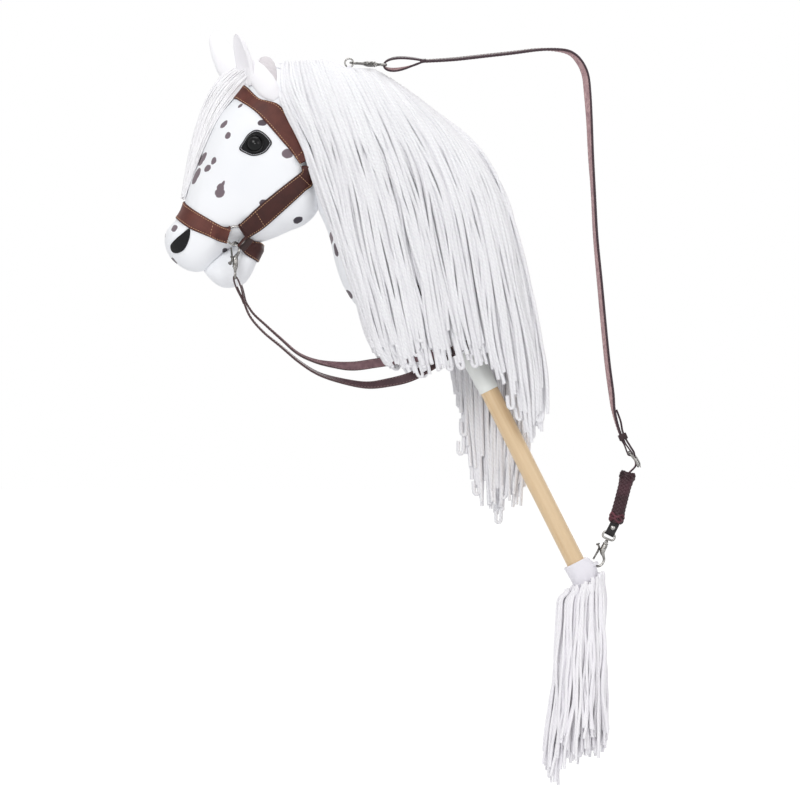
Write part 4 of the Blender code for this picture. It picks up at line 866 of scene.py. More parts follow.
def new_tool(name, **inputs):
    """Empty Geometry Nodes tree: its bench and the values of its inputs."""
    tree = bpy.data.node_groups.new(name, "GeometryNodeTree")
    tree.interface.new_socket("Geometry", in_out="OUTPUT", socket_type="NodeSocketGeometry")
    for label, kind in {"Geometry": "Geometry", **inputs}.items():
        tree.interface.new_socket(label, in_out="INPUT", socket_type="NodeSocket" + kind)
    bench = Bench(tree)
    given = tree.nodes.new("NodeGroupInput")
    return bench, {s.name: Wire(bench, s) for s in given.outputs if s.name}


def dyed_tool(bench, made, colour):
    """End of a tree: what it made becomes a plain smooth mesh in its colour."""
    real = bench.node("GeometryNodeRealizeInstances", sockets={"Geometry": made})
    smooth = bench.node("GeometryNodeSetShadeSmooth", sockets={"Geometry": real})
    dyed = bench.node("GeometryNodeSetMaterial", sockets={"Geometry": smooth, "Material": colour})
    bench.join(bench.tree.nodes.new("NodeGroupOutput").inputs[0], dyed)
    return bench.tree


def stitch_tool():
    """Geometry Nodes that lay short rounded stitches end to end along the edges of a mesh."""
    bench, value = new_tool("stitches", Pitch="Float", Gap="Float", Thread="Float", Colour="Material")
    lines = bench.node("GeometryNodeMeshToCurve", sockets={"Mesh": value["Geometry"]})
    evenly = bench.tree.nodes.new("GeometryNodeCurveToPoints")
    evenly.mode = "LENGTH"
    bench.join(evenly.inputs["Curve"], lines)
    bench.join(next(s for s in evenly.inputs if s.name == "Length"), value["Pitch"])
    points, turn = Wire(bench, evenly.outputs["Points"]), Wire(bench, evenly.outputs["Rotation"])
    body = bench.node("GeometryNodeMeshUVSphere", sockets={"Segments": 6, "Rings": 4, "Radius": 1.0})
    size = bench.node("ShaderNodeCombineXYZ", sockets={
        0: value["Thread"], 1: value["Thread"], 2: (value["Pitch"] - value["Gap"]) * 0.5})
    laid = bench.node("GeometryNodeInstanceOnPoints", sockets={
        "Points": points, "Instance": body, "Rotation": turn, "Scale": size})
    return dyed_tool(bench, laid, value["Colour"])


STITCHES = stitch_tool()


def lines_mesh(name, lines, closed=False):
    """Mesh of loose edges along lists of points."""
    points, edges = [], []
    for line in lines:
        start = len(points)
        points += line
        edges += [(start + i, start + i + 1) for i in range(len(line) - 1)]
        if closed:
            edges.append((len(points) - 1, start))
    mesh = bpy.data.meshes.new(name)
    mesh.from_pydata(points, edges, [])
    return mesh


def grow(name, mesh, tree, **values):
    """Run a Geometry Nodes tree on a mesh and keep the plain mesh that it makes."""
    obj = bpy.data.objects.new(name, mesh)
    bpy.context.scene.collection.objects.link(obj)
    step = obj.modifiers.new("made", "NODES")
    step.node_group = tree
    for item in tree.interface.items_tree:
        key = item.name.replace(" ", "_").lower()
        if item.item_type == "SOCKET" and item.in_out == "INPUT" and key in values:
            step[item.identifier] = values[key]
    final_mesh(obj)
    return obj


def sew(name, lines, colour, body, slot, pitch=4.6 * MM, gap=1.2 * MM, width=0.3 * MM, closed=False):
    """Stitches along lines, moving with a body."""
    made = grow(name, lines_mesh(name, lines, closed), STITCHES, pitch=pitch, gap=gap, thread=width,
                colour=colour)
    wear(made, body)
    return made


def glossy_eye():
    plastic = Finish("eye_plastic", 0.06, specular_ior_level=0.22)
    speck = plastic.noise(plastic.place(), 300, 2)
    plastic.drive("Base Color", plastic.blend(speck, ink("#060607"), ink("#0c0c0e")))
    plastic.drive("Roughness", speck * 0.05 + 0.05)
    return plastic.material


BLACK_FELT = felt()
GREY_THREAD = thread("grey_thread", ink("#c4c4c8"), ink("#a3a3a8"))
EYE_PLASTIC = glossy_eye()
EYE_TURNING = [(0.2, -2.5), (0.97, -2.5), (1.0, -1.2), (1.0, 1.9), (0.985, 2.7), (0.95, 3.2), (0.9, 3.35),
               (0.86, 3.0), (0.84, 2.55), (0.81, 2.6), (0.77, 3.4), (0.72, 4.2), (0.64, 5.3), (0.54, 6.3),
               (0.42, 7.1), (0.28, 7.75), (0.14, 8.1), (0.03, 8.2)]

for side, sign in SIDES.items():
    shape = felt_shape("eye_felt_cover_" + side, EYE_ALMOND, sign, BLACK_FELT)
    wear(shape, "horse", "eye_felt_" + side)
    drop_shape = felt_shape("nostril_cover_" + side, NOSTRIL_DROP, sign, BLACK_FELT)
    wear(drop_shape, "horse", "nostril_" + side)
    middle = sum((Vector((x, y, 0)) for x, y in EYE_ALMOND), Vector()) / len(EYE_ALMOND)
    hem = smooth_path([middle + (Vector((x, y, 0)) - middle) * 0.89 for x, y in EYE_ALMOND], 6, closed=True)
    sew("eye_felt_stitches_" + side, [[on_flank(head_tree, p.x, p.y, sign, FELT_THICK + 0.2 * MM)[0]
                                       for p in hem]], GREY_THREAD, "horse", "black_felt", 2.4 * MM,
        0.1 * MM, 0.5 * MM, closed=True)
    seat, out = on_flank(head_tree, *EYE_PLACE, sign)
    first = out.cross(UP).normalized()
    second = out.cross(first)
    rows = [circle_round(seat + out * (rise * MM), first, second, EYE_RADIUS * share, 56)
            for share, rise in EYE_TURNING]
    eye = put("eye_dome_" + side, skin("eye_dome", rows), EYE_PLASTIC, smooth_angle=55)
    wear(eye, "horse", "eye_" + side)


# Mane: long lengths of thick white two-ply yarn, laid across the crest side by side, sewn down along
# its middle and left to hang over both sides of the neck. The right side hangs longer at the back.

YARN_RADIUS = 2.55 * MM
MANE_POINTS = 34
MANE_STRANDS = 236
MANE_SEED = 4
LAYER_STEP = 3.0 * MM
HOOK_EVERY = 11
HOOK_FIRST = 3
CREST_RISE = 8 * MM
CREST_X = -227 * MM
CREST_SPREAD = 32 * MM
LEFT_FALLS = [
    [(277, 61), (272.5, 72), (275, 87), (281, 102), (288, 116), (295.5, 129), (304.5, 146), (311, 168),
     (318, 190), (327, 214), (344.5, 262), (360, 306), (371, 344), (376, 352)],
    [(300, 60), (309, 95), (325, 140), (340, 190), (353, 245), (367, 300), (380, 350), (388, 362)],
    [(325, 59.5), (340, 100), (360, 150), (377, 200), (390, 260), (402, 310), (412, 350), (416, 366)],
    [(345, 63), (365, 100), (388, 145), (405, 195), (418, 250), (430, 305), (438, 345), (442, 364)],
    [(370, 67), (395, 100), (420, 140), (440, 190), (452, 245), (462, 300), (468, 335), (472, 352)],
    [(391, 79), (418, 105), (447, 145), (468, 190), (481, 240), (490, 290), (497, 340), (504, 378)],
    [(413, 92), (440, 118), (468, 150), (488, 190), (502, 240), (513, 300), (522, 360), (529, 432)],
    [(430, 106), (452, 124), (474, 145), (493, 172), (506, 198), (515, 230), (533, 300), (544.5, 357),
     (547, 390), (545, 420)],
]
RIGHT_FALLS = LEFT_FALLS[:3] + [
    [(345, 63), (365, 100), (388, 145), (408, 195), (424, 250), (440, 305), (449, 336), (452, 350)],
    [(370, 67), (395, 100), (420, 140), (438, 190), (448, 245), (455, 300), (460, 345), (464, 391),
     (465, 440)],
    [(391, 79), (418, 105), (447, 145), (466, 190), (475, 245), (479, 300), (481, 360), (482, 430),
     (484, 503)],
    [(413, 92), (440, 118), (468, 150), (486, 190), (498, 240), (505, 300), (509, 360), (509, 430),
     (506, 508)],
    [(430, 106), (452, 124), (474, 145), (493, 172), (505, 198), (514, 230), (526, 300), (532, 357),
     (532, 420), (525, 490)],
]
FALL_SHARES = [1.0, 1.7, 1.6, 1.7, 1.6, 1.3, 1.2]


def spaced(points, count):
    """The given number of points at even steps along a path."""
    lengths = [0.0]
    for a, b in zip(points, points[1:]):
        lengths.append(lengths[-1] + (b - a).length)
    out = []
    k = 0
    for i in range(count):
        want = lengths[-1] * i / (count - 1)
        while k < len(points) - 2 and lengths[k + 1] < want:
            k += 1
        t = (want - lengths[k]) / max(lengths[k + 1] - lengths[k], 1e-9)
        out.append(points[k].lerp(points[k + 1], min(max(t, 0), 1)))
    return out


def yarn_tool():
    """Geometry Nodes that turn lines into yarn: round, a little uneven, with closed cut ends. It
    keeps the distance along, the place around and one tone for each length of yarn."""
    bench, value = new_tool("yarn", Radius="Float", Change="Float", Sides="Int", Seed="Int",
                            Colour="Material")
    lines = bench.node("GeometryNodeMeshToCurve", sockets={"Mesh": value["Geometry"]})
    which = bench.node("GeometryNodeCurveOfPoint", output="Curve Index")
    tone = bench.node("FunctionNodeRandomValue", {"data_type": "FLOAT"},
                      {"Min": 0.0, "Max": 1.0, "ID": which, "Seed": value["Seed"]})
    along = bench.node("GeometryNodeSplineParameter", output="Length")
    for label, field in (("along", along), ("tone", tone)):
        lines = bench.node("GeometryNodeStoreNamedAttribute", {"data_type": "FLOAT", "domain": "POINT"},
                           {"Geometry": lines, "Name": label, "Value": field})
    unevenness = bench.node("ShaderNodeTexNoise", sockets={"Scale": 55.0, "Detail": 1.0})
    stoutness = (unevenness - 0.5) * value["Change"] + (tone - 0.5) * value["Change"] * 0.6 + 1.0
    circle = bench.node("GeometryNodeCurvePrimitiveCircle",
                        sockets={"Resolution": value["Sides"], "Radius": 1.0})
    place = bench.node("GeometryNodeInputPosition")
    rim = bench.node("GeometryNodeStoreNamedAttribute", {"data_type": "FLOAT_VECTOR", "domain": "POINT"},
                     {"Geometry": circle, "Name": "around", "Value": place})
    spun = bench.node("GeometryNodeCurveToMesh", sockets={
        "Curve": lines, "Profile Curve": rim, "Scale": stoutness * value["Radius"], "Fill Caps": True})
    return dyed_tool(bench, spun, value["Colour"])


YARN_TOOL = yarn_tool()


def yarn(name, light, shade, twist_length, ply_depth, plies=2):
    """White yarn: its plies wind round each other, with painted shade darkening the grooves between them,
    and fine fibres run along them.
    """
    wool = Finish(name, 0.9, sheen_weight=0.3, sheen_roughness=0.5)
    along = wool.node("ShaderNodeAttribute", {"attribute_name": "along"}, output="Fac")
    tone = wool.node("ShaderNodeAttribute", {"attribute_name": "tone"}, output="Fac")
    around = wool.node("ShaderNodeAttribute", {"attribute_name": "around"}, output="Vector")
    angle = wool.maths("ARCTAN2", wool.part(around, "Y"), wool.part(around, "X"))
    winding = angle * plies + along * (2 * math.pi * plies / twist_length)
    groove = wool.maths("POWER", wool.maths("COSINE", winding) * 0.5 + 0.5, 0.45)
    fibres = wool.noise(wool.place((0, 0.2, 0), (1, 1, 0.35)), 1800, 3, 0.6)
    colour = wool.blend(tone * 0.4, light, shade)
    # Painted shade: the colour darkens in the grooves between the plies.
    colour = wool.blend((1 - groove) * 0.3, colour, shade)
    colour = wool.blend(fibres * 0.14, colour, shade)
    wool.drive("Base Color", colour)
    soft = wool.bump(fibres, 0.12 * MM, 0.4)
    wool.bump(groove, ply_depth, 0.6, soft)
    return wool.material


MANE_YARN = yarn("mane_yarn", ink("#f5f5f7"), ink("#dfdde2"), 12 * MM, 0.35 * MM)
# Where the reins turn, and the room on the crest in which the carry strap's snap moves
REIN_PIVOT = Vector((-386, 0, 315)) * MM
REIN_SWING = math.radians(3)
SNAP_FREE_X = (-254 * MM, -180 * MM)
SNAP_FREE_Y = 13 * MM
SNAP_FREE_Z = 531.5 * MM


def clear_of(tree, point, room):
    """Move a point out until it keeps its room from a surface."""
    near, normal, _, _ = tree.find_nearest(point)
    away = (point - near).dot(normal)
    if away < room:
        return point + normal * (room - away)
    return point


def swung_reins(steps=7):
    """Search tree over all the places that the reins pass through as they swing."""
    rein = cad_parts["rein"]
    points, faces = [], []
    for k in range(steps):
        turn = Matrix.Rotation(-REIN_SWING * k / (steps - 1), 3, "Y")
        start = len(points)
        points += [REIN_PIVOT + turn @ (v.co - REIN_PIVOT) for v in rein.data.vertices]
        faces += [[start + i for i in p.vertices] for p in rein.data.polygons]
    return BVHTree.FromPolygons(points, faces)


rein_room = swung_reins()


def off_reins(point, sign, layer):
    """Lay the yarn over the reins where they pass under the mane."""
    for dx, dz in ((-1, 0), (1, 0), (0, -1), (0, 1)):
        outside = Vector((point.x + dx * YARN_RADIUS, sign * 0.3, point.z + dz * YARN_RADIUS))
        hit = rein_room.ray_cast(outside, ACROSS * -sign)[0]
        if hit is not None and hit.y * sign > 0:
            room = hit.y * sign + YARN_RADIUS * 1.75 + max(layer, 0) * MM
            if point.y * sign < room:
                point.y = sign * room
    return point


def off_snap(point):
    """Keep the yarn on the crest under the carry strap's snap."""
    if SNAP_FREE_X[0] < point.x < SNAP_FREE_X[1] and abs(point.y) < SNAP_FREE_Y:
        point.z = min(point.z, SNAP_FREE_Z)
    return point


def drawn_waves(chance, sizes, counts, number):
    """Random waves of a strand: height, how many and where each starts."""
    return [(chance.uniform(*sizes) * MM, chance.uniform(*counts), chance.uniform(0, 6.3))
            for _ in range(number)]


def sway(waves, reach, wave=math.sin):
    return sum(size * wave(count * reach + start) for size, count, start in waves)


def eased(line, rounds):
    """Smooth a line between its two ends."""
    for _ in range(rounds):
        inner = [(a + b * 2 + c) / 4 for a, b, c in zip(line, line[1:], line[2:])]
        line = [line[0], *inner, line[-1]]
    return line


def hook_end(line, turn_way):
    """Points with which a length of yarn turns up at its end."""
    foot, way = line[-1], (line[-1] - line[-2]).normalized()
    points = []
    for k in range(1, 9):
        angle = math.pi * min(k / 5, 1)
        rise = max(k - 5, 0) * 4 * MM
        points.append(foot + way * (5 * MM * math.sin(angle) - rise)
                      + turn_way * (3.4 * MM * (1 - math.cos(angle))))
    return points


def fall_between(falls, share):
    """Path between two neighbouring falls of the mane."""
    k = min(int(share), len(falls) - 2)
    return [a.lerp(b, share - k) for a, b in zip(falls[k], falls[k + 1])]


def mane_lines(side, seed):
    """Middle lines of the yarn on one side: they follow the outer form of the mane, layer by layer."""
    sign = SIDES[side]
    drawn = LEFT_FALLS if side == "left" else RIGHT_FALLS
    falls = []
    for fall in drawn:
        flat = through_pixels(fall, 8)
        falls.append(spaced(flat, MANE_POINTS))
    shell = skin_tree(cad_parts["mane_" + side])
    chance = random.Random(seed)
    total = sum(FALL_SHARES)
    lines = []
    for number in range(MANE_STRANDS):
        want = (number + chance.uniform(0.1, 0.9)) / MANE_STRANDS * total
        share = 0
        while share < len(FALL_SHARES) - 1 and want > FALL_SHARES[share]:
            want -= FALL_SHARES[share]
            share += 1
        share += min(want / FALL_SHARES[share], 1)
        layer = (number * 2) % 5 * 0.8 + chance.uniform(-0.2, 0.3)
        depth = YARN_RADIUS + max(layer, 0) * LAYER_STEP
        drift = chance.uniform(-0.3, 0.3)
        reach = chance.uniform(0.9, 1.03)
        waves = drawn_waves(chance, (0.8, 2.2), (1.5, 5.5), 3)
        depth_wave = drawn_waves(chance, (0.4, 1.2), (2, 6), 1)
        line = []
        for i in range(MANE_POINTS):
            t = i / (MANE_POINTS - 1) * reach
            place = min(max(share + drift * t, 0), len(falls) - 1.001)
            path = fall_between(falls, place)
            spot = t * (MANE_POINTS - 1)
            k = min(int(spot), MANE_POINTS - 2)
            flat = path[k] + (path[k + 1] - path[k]) * (spot - k)
            way = (path[k + 1] - path[k]).normalized()
            side_way = way.cross(ACROSS)
            flat = flat + side_way * (sway(waves, math.pi * t) * min(1, 4 * t))
            hit, normal, _, _ = shell.ray_cast(flat + ACROSS * (sign * 0.3), ACROSS * -sign)
            inward = depth + sway(depth_wave, 3 * t) * min(1, 5 * t)
            if hit is None or abs(hit.y) < 1 * MM:
                hit, normal, _, _ = shell.find_nearest(flat + ACROSS * (sign * (1 + 60 * min(t, 0.5)) * MM))
            point = hit - normal * inward
            if t > 0.05:
                point.x, point.z = flat.x, flat.z
            if hit.z < flat.z - 25 * MM:
                point.z = flat.z
            if i and (abs(point.y) < abs(line[-1].y) - 4 * MM) and t > 0.3:
                point.y = line[-1].y - sign * 1.5 * MM
            point.y = sign * max(abs(point.y), 0.6 * MM)
            point.z += CREST_RISE * max(0, 1 - 4 * t) * math.exp(-((point.x - CREST_X) / CREST_SPREAD) ** 2)
            line.append(clear_of(body_tree, point, YARN_RADIUS * 0.9))
        line = eased(line, 3)
        if number % HOOK_EVERY == HOOK_FIRST:
            line += hook_end(line, ALONG * (1 if share < len(FALL_SHARES) / 2 else -1))
        lines.append([off_snap(off_reins(point, sign, layer)) for point in line])
    return lines


for side in SIDES:
    mane = grow("mane_yarn_" + side, lines_mesh("mane", mane_lines(side, MANE_SEED + len(side))), YARN_TOOL,
                radius=YARN_RADIUS, change=0.35, sides=6, seed=MANE_SEED, colour=MANE_YARN)
    wear(mane, "horse", "mane_" + side)


# Forelock: the same white wool, combed out into fine lengths, sewn over the poll between the ears and
# swept forwards and down the middle of the face.

LOCK_RADIUS = 1.0 * MM
LOCK_STRANDS = 760
LOCK_POINTS = 30
LOCK_OUTER = [(281, 64), (268, 59), (250, 62), (232, 69), (219.5, 78), (207.5, 96), (195.5, 130),
              (186, 171), (181.5, 199)]
LOCK_INNER = [(283, 80), (272, 72), (258, 72), (247, 84), (236, 97), (219, 121), (206, 147), (194, 176),
              (185, 200)]
LOCK_HALF = [15, 17, 19, 20, 20, 17, 13, 9, 4]

FINE_YARN = yarn("combed_yarn", ink("#fdfdfe"), ink("#f4f2f6"), 5 * MM, 0.08 * MM)


def lock_lines(seed):
    chance = random.Random(seed)
    outer = through_pixels(LOCK_OUTER, 6)
    inner = through_pixels(LOCK_INNER, 6)
    half = smooth_path([Vector((h, 0, 0)) for h in LOCK_HALF], 6)
    lines = []
    for number in range(LOCK_STRANDS):
        rise = chance.random() ** 0.7
        across = chance.uniform(-1, 1)
        rise *= math.sqrt(max(0.05, 1 - across * across * 0.8))
        start = chance.uniform(0, 0.3)
        end = chance.uniform(0.84, 1.0)
        waves = drawn_waves(chance, (0.4, 1.3), (1, 4), 2)
        line = []
        for i in range(LOCK_POINTS):
            t = start + (end - start) * i / (LOCK_POINTS - 1)
            spot = t * (len(outer) - 1)
            k = min(int(spot), len(outer) - 2)
            high = outer[k].lerp(outer[k + 1], spot - k)
            low = inner[k].lerp(inner[k + 1], spot - k)
            width = half[k].lerp(half[k + 1], spot - k).x * MM
            point = low.lerp(high, rise)
            point.y = across * width + sway(waves, 4 * t)
            way = (outer[k + 1] - outer[k]).normalized().cross(ACROSS)
            point += way * sway(waves, 3 * t, math.cos) * 0.7
            line.append(clear_of(head_tree, point, LOCK_RADIUS + 0.6 * MM))
        lines.append(eased(line, 2))
    return lines


forelock = grow("forelock_yarn", lines_mesh("forelock", lock_lines(12)), YARN_TOOL, radius=LOCK_RADIUS,
                change=0.4, sides=5, seed=2, colour=FINE_YARN)
wear(forelock, "horse", "forelock")


# Tail: a bundle of the same yarn, gathered round the sleeve's lower edge so that it can swing, and
# hanging straight down to uneven cut ends.

TAIL_PIVOT = stick_point(142 * MM)
TAIL_STRANDS = 230
TAIL_POINTS = 42
TAIL_ROOM = 24.4 * MM
# The tail's fall: distance down, lean to the back and radius of the bundle, in millimetres
TAIL_HANG = [(0, -1, 30), (10, -1, 32.5), (26, -1, 35), (60, -2, 36), (110, -3, 38), (160, -5, 41),
             (205, -7, 44), (262, -12, 45)]
TAIL_FLAT = 0.8
# Turn from one strand to the next, which spreads them evenly over the bundle
GOLDEN_TURN = 2.39996

# Painted light: the tail's yarn is a lighter copy of the mane's, making up for the shade inside the dense
# bundle.
TAIL_YARN_LIGHTENED = yarn("tail_yarn", ink("#fefdff"), ink("#f2eff6"), 11 * MM, 0.3 * MM)


def tail_lines(seed):
    chance = random.Random(seed)
    hang = through(TAIL_HANG, 6)
    lines = []
    for number in range(TAIL_STRANDS):
        reach = math.sqrt((number + 0.5) / TAIL_STRANDS)
        turn = number * GOLDEN_TURN + chance.uniform(-0.2, 0.2)
        u, v = reach * math.cos(turn), reach * math.sin(turn) * TAIL_FLAT
        theta = math.radians(12 + 68 * reach)
        ring = STICK_SIDE * math.cos(turn) + ACROSS * math.sin(turn)
        root = TAIL_PIVOT + (STICK_DOWN * math.cos(theta) + ring * math.sin(theta)) * (TAIL_ROOM + 3 * MM)
        longer = 46 if u < -0.5 else 24 if u < 0 else 14
        low_end = chance.uniform(182, 226) + longer * chance.uniform(0.5, 1)
        drift_u, drift_v = chance.uniform(-0.16, 0.16), chance.uniform(-0.16, 0.16)
        waves = drawn_waves(chance, (0.5, 2.0), (1, 5), 3)
        line = []
        for i in range(TAIL_POINTS):
            t = i / (TAIL_POINTS - 1)
            fall = t * low_end
            k = 0
            while k < len(hang) - 2 and hang[k + 1].x < fall:
                k += 1
            part = (fall - hang[k].x) / (hang[k + 1].x - hang[k].x)
            _, lean, radius = hang[k].lerp(hang[k + 1], min(max(part, 0), 1))
            point = TAIL_PIVOT + Vector(((lean + (u + drift_u * t) * (radius - 3)) * MM,
                                         (v + drift_v * t) * (radius - 3) * MM, -fall * MM))
            aside = sway(waves, 3 * t) * min(1, 2.5 * t)
            point += Vector((aside, aside * 0.6, 0))
            blend = min(1, max(0, fall - 4) / 26)
            blend = blend * blend * (3 - 2 * blend)
            start = root - UP * (fall * MM * 0.8)
            point = start.lerp(point, blend)
            away = point - TAIL_PIVOT
            if away.length < TAIL_ROOM:
                point = TAIL_PIVOT + away.normalized() * TAIL_ROOM
            line.append(point)
        lines.append(eased(line, 2))
    return lines


tail = grow("tail_yarn", lines_mesh("tail", tail_lines(7)), YARN_TOOL, radius=2.1 * MM, change=0.35, sides=6,
            seed=3, colour=TAIL_YARN_LIGHTENED)
wear(tail, "tail", "tail_tassel")


# Rings: bent from round nickel-plated wire. The halter has one at each cheek and one at each corner of
# the mouth, and a small one on the crest takes the carry strap.

CHEEK_RING = (305.33, 165.15)
CHEEK_RING_RADIUS = 5.6 * MM
CHEEK_WIRE = 1.0 * MM
BIT_RING = (236.88, 236.69)
BIT_RING_RADIUS = 12.4 * MM
BIT_WIRE = 1.25 * MM
CREST_RING_RADIUS = 5.5 * MM
CREST_WIRE = 1.1 * MM


def plated(name, light, dark, roughness):
    """Nickel plating, its colours kept darker than bright nickel as painted shade for dark surroundings
    mirrored in it: a little cloudy, with fine rubbing marks and darker worn spots.
    """
    metal = Finish(name, roughness, 1.0)
    cloud = metal.noise(metal.place(), 260, 3)
    rubs = metal.noise(metal.place((0.4, 0.3, 0), (1, 1, 9)), 700, 2)
    spots = metal.noise(metal.place(), 900, 2)
    colour = metal.ramp(cloud, (0.3, dark), (0.62, light))
    metal.drive("Base Color", metal.blend(metal.between(spots, 0.62, 0.72) * 0.7, colour, dark))
    metal.drive("Roughness", rubs * 0.25 + (roughness - 0.08))
    metal.bump(rubs, 0.04 * MM, 0.5)
    return metal.material


# Painted reflection: these colours are darker than bare nickel, standing in for dark surroundings that the
# plating mirrors.
NICKEL = plated("nickel_plate", ink("#a6a4a1"), ink("#575552"), 0.24)


def wire_ring(name, centre, radius, wire, first=ALONG, second=UP):
    """Ring of round wire; its weld stands a little proud."""
    normal = first.cross(second)
    rows = []
    for i in range(56):
        turn = 2 * math.pi * i / 56
        out = first * math.cos(turn) + second * math.sin(turn)
        stout = wire * (1 + 0.12 * math.exp(-((i - 28) / 1.5) ** 2))
        rows.append(circle_round(centre + out * radius, out, normal, stout, 14))
    return put(name, skin(name, rows, closed=True), NICKEL, smooth_angle=180)


def ring_middle(node):
    low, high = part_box(node)
    return (Vector(low) + Vector(high)) / 2


for node, radius, wire in (("bit_ring_left", BIT_RING_RADIUS, BIT_WIRE),
                           ("bit_ring_right", BIT_RING_RADIUS, BIT_WIRE),
                           ("cheek_ring_left", CHEEK_RING_RADIUS, CHEEK_WIRE),
                           ("cheek_ring_right", CHEEK_RING_RADIUS, CHEEK_WIRE),
                           ("crest_ring", CREST_RING_RADIUS, CREST_WIRE)):
    ring = wire_ring(node + "_wire", ring_middle(node), radius, wire)
    wear(ring, node, node)


# Halter: straps of reddish brown leather with two rows of tan stitching. They lie on the cloth of the
# head, and each end is turned round a ring and sewn down across.

HALTER_THICK = 2.1 * MM
HALTER_GAP = 0.35 * MM
ACROSS_SHARES = [0, 0.03, 0.1, 0.25, 0.5, 0.75, 0.9, 0.97, 1.0]
EDGE_SHAPE = [0.4, 0.82, 1, 1, 1, 1, 1, 0.82, 0.4]
RISE_REACH = 17 * MM
BROWBAND = [((306.9, 159.2), (299.3, 163.6)), ((304.2, 149.5), (295.5, 158.2)), ((301.5, 140), (290, 150.5)),
            ((295.5, 127.6), (281.5, 140.8)), ((288, 115.4), (272, 129.7)), ((278.5, 104.6), (262.5, 119)),
            ((268, 100.8), (255.5, 112)), ((259, 98.4), (249, 107)), ((249, 88.6), (237, 99.7))]
BROWBAND_FRONT = ((233, 76.5), (220.5, 90.5))
CHEEK_STRAP = [((302.2, 170.4), (309.9, 169.3)), ((300.5, 172.4), (312.6, 184)), ((293, 178.2), (305, 191)),
               ((285, 184.5), (296, 199.5)), ((269.5, 196.8), (280.3, 213.7)),
               ((254.5, 209.8), (265.2, 226.8)), ((240.3, 224.0), (249.4, 238.2))]
NOSEBAND = [((231, 229.2), (226.8, 243.8)), ((223, 226.4), (219, 241.4)), ((214, 221.7), (209.5, 237)),
            ((197, 211.7), (191, 229.3)), ((188, 205.4), (180.6, 222.6))]
NOSEBAND_FRONT = ((182, 200.5), (173.4, 216.4))
CHIN_STRAP = [((248.9, 237.4), (239.6, 248.2)), ((254, 240.2), (244.4, 253.4)),
              ((257.5, 242.4), (247.6, 256.2))]
CHIN_FRONT = ((262.5, 246.0), (251.5, 260))


# Share of the way round a strap at which the middle of its outer face lies
STRAP_MIDDLE = 0.222


def leather(name, light, dark, grain=900, roughness=0.5, edge=None, pores=0.12 * MM):
    """Tanned leather: fine pebbled grain, cloudy dye, darker burnished edges."""
    hide = Finish(name, roughness, specular_ior_level=0.28)
    here = hide.place()
    cloud = hide.noise(here, 45, 3, 0.5)
    pebbles = hide.pebbles(here, float(grain))
    scuffs = hide.noise(hide.place((0.5, 0.4, 0.2), (1, 1, 6)), 160, 3, 0.8)
    colour = hide.ramp(cloud, (0.3, dark), (0.7, light))
    rubbed = tuple(min(1, c * 1.7) for c in light)
    colour = hide.blend(hide.between(scuffs, 0.58, 0.8) * 0.25, colour, rubbed)
    colour = hide.blend(pebbles * 0.3, colour, dark)
    if edge is not None:
        rim = hide.between(hide.maths("ABSOLUTE", hide.share_around() - STRAP_MIDDLE), 0.17, STRAP_MIDDLE)
        colour = hide.blend(rim * 0.75, colour, edge)
    hide.drive("Base Color", colour)
    hide.drive("Roughness", pebbles * 0.15 + cloud * 0.1 + (roughness - 0.1))
    wrinkles = hide.bump(scuffs, 0.25 * MM, 0.35)
    hide.bump(pebbles, pores, 0.6, wrinkles)
    return hide.material


HALTER_LEATHER = leather("halter_leather", ink("#6a3a31"), ink("#4c2620"), edge=ink("#2a1412"))
CHEEK_LEATHER = leather("cheek_leather", ink("#49241f"), ink("#341815"), edge=ink("#1c0d0c"))
TAN_THREAD = thread("tan_thread", ink("#dcb58e"), ink("#bb8c62"))
HALTER_SEWING = (TAN_THREAD, "horse", "halter_leather", 3.4 * MM, 1.0 * MM, 0.42 * MM)


def laid_rows(stations, rings):
    """Rows across a strap on the left flank. rings gives (pixel of the wire, rise to the wire) pairs,
    towards which the strap lifts off the cloth."""
    uppers = smooth_path([Vector((u[0], 0, u[1])) for u, _ in stations], 5)
    lowers = smooth_path([Vector((v[0], 0, v[1])) for _, v in stations], 5)
    rows = []
    for upper, lower in zip(uppers, lowers):
        middle = seen((upper.x + lower.x) / 2, (upper.z + lower.z) / 2)
        extra = 0
        for (px, py), rise in rings:
            near = max(0.0, 1 - (middle - seen(px, py)).length / RISE_REACH)
            extra += rise * near * near * (3 - 2 * near)
        row = []
        for share in ACROSS_SHARES:
            spot = upper.lerp(lower, share)
            place, out = on_flank(body_tree, spot.x, spot.z, -1, HALTER_GAP)
            row.append((place - ACROSS * extra, (out - ACROSS * (extra / (2 * MM))).normalized()))
        rows.append(row)
    return rows


def turned_end(ring_at, radius, wire, out_y, station):
    """Rows of the end that goes round a ring's wire and back underneath."""
    upper, lower = (seen(*p, -out_y) for p in station)
    side = (lower - upper).normalized()
    half = (lower - upper).length / 2
    towards = ring_at - (upper + lower) / 2
    towards.y = 0
    towards = square_to(towards, side)
    wire_place = ring_at - towards * radius
    inside = wire + 0.2 * MM
    rows = []
    for step in range(7):
        turn = math.radians(30 * step)
        way = ACROSS * -math.cos(turn) + towards * math.sin(turn)
        rows.append([(wire_place + way * inside + side * ((share - 0.5) * 2 * half), way)
                     for share in ACROSS_SHARES])
    for back in (3, 6, 9):
        rows.append([(wire_place + ACROSS * inside - towards * (back * MM)
                      + side * ((share - 0.5) * 2 * half), ACROSS) for share in ACROSS_SHARES])
    return rows


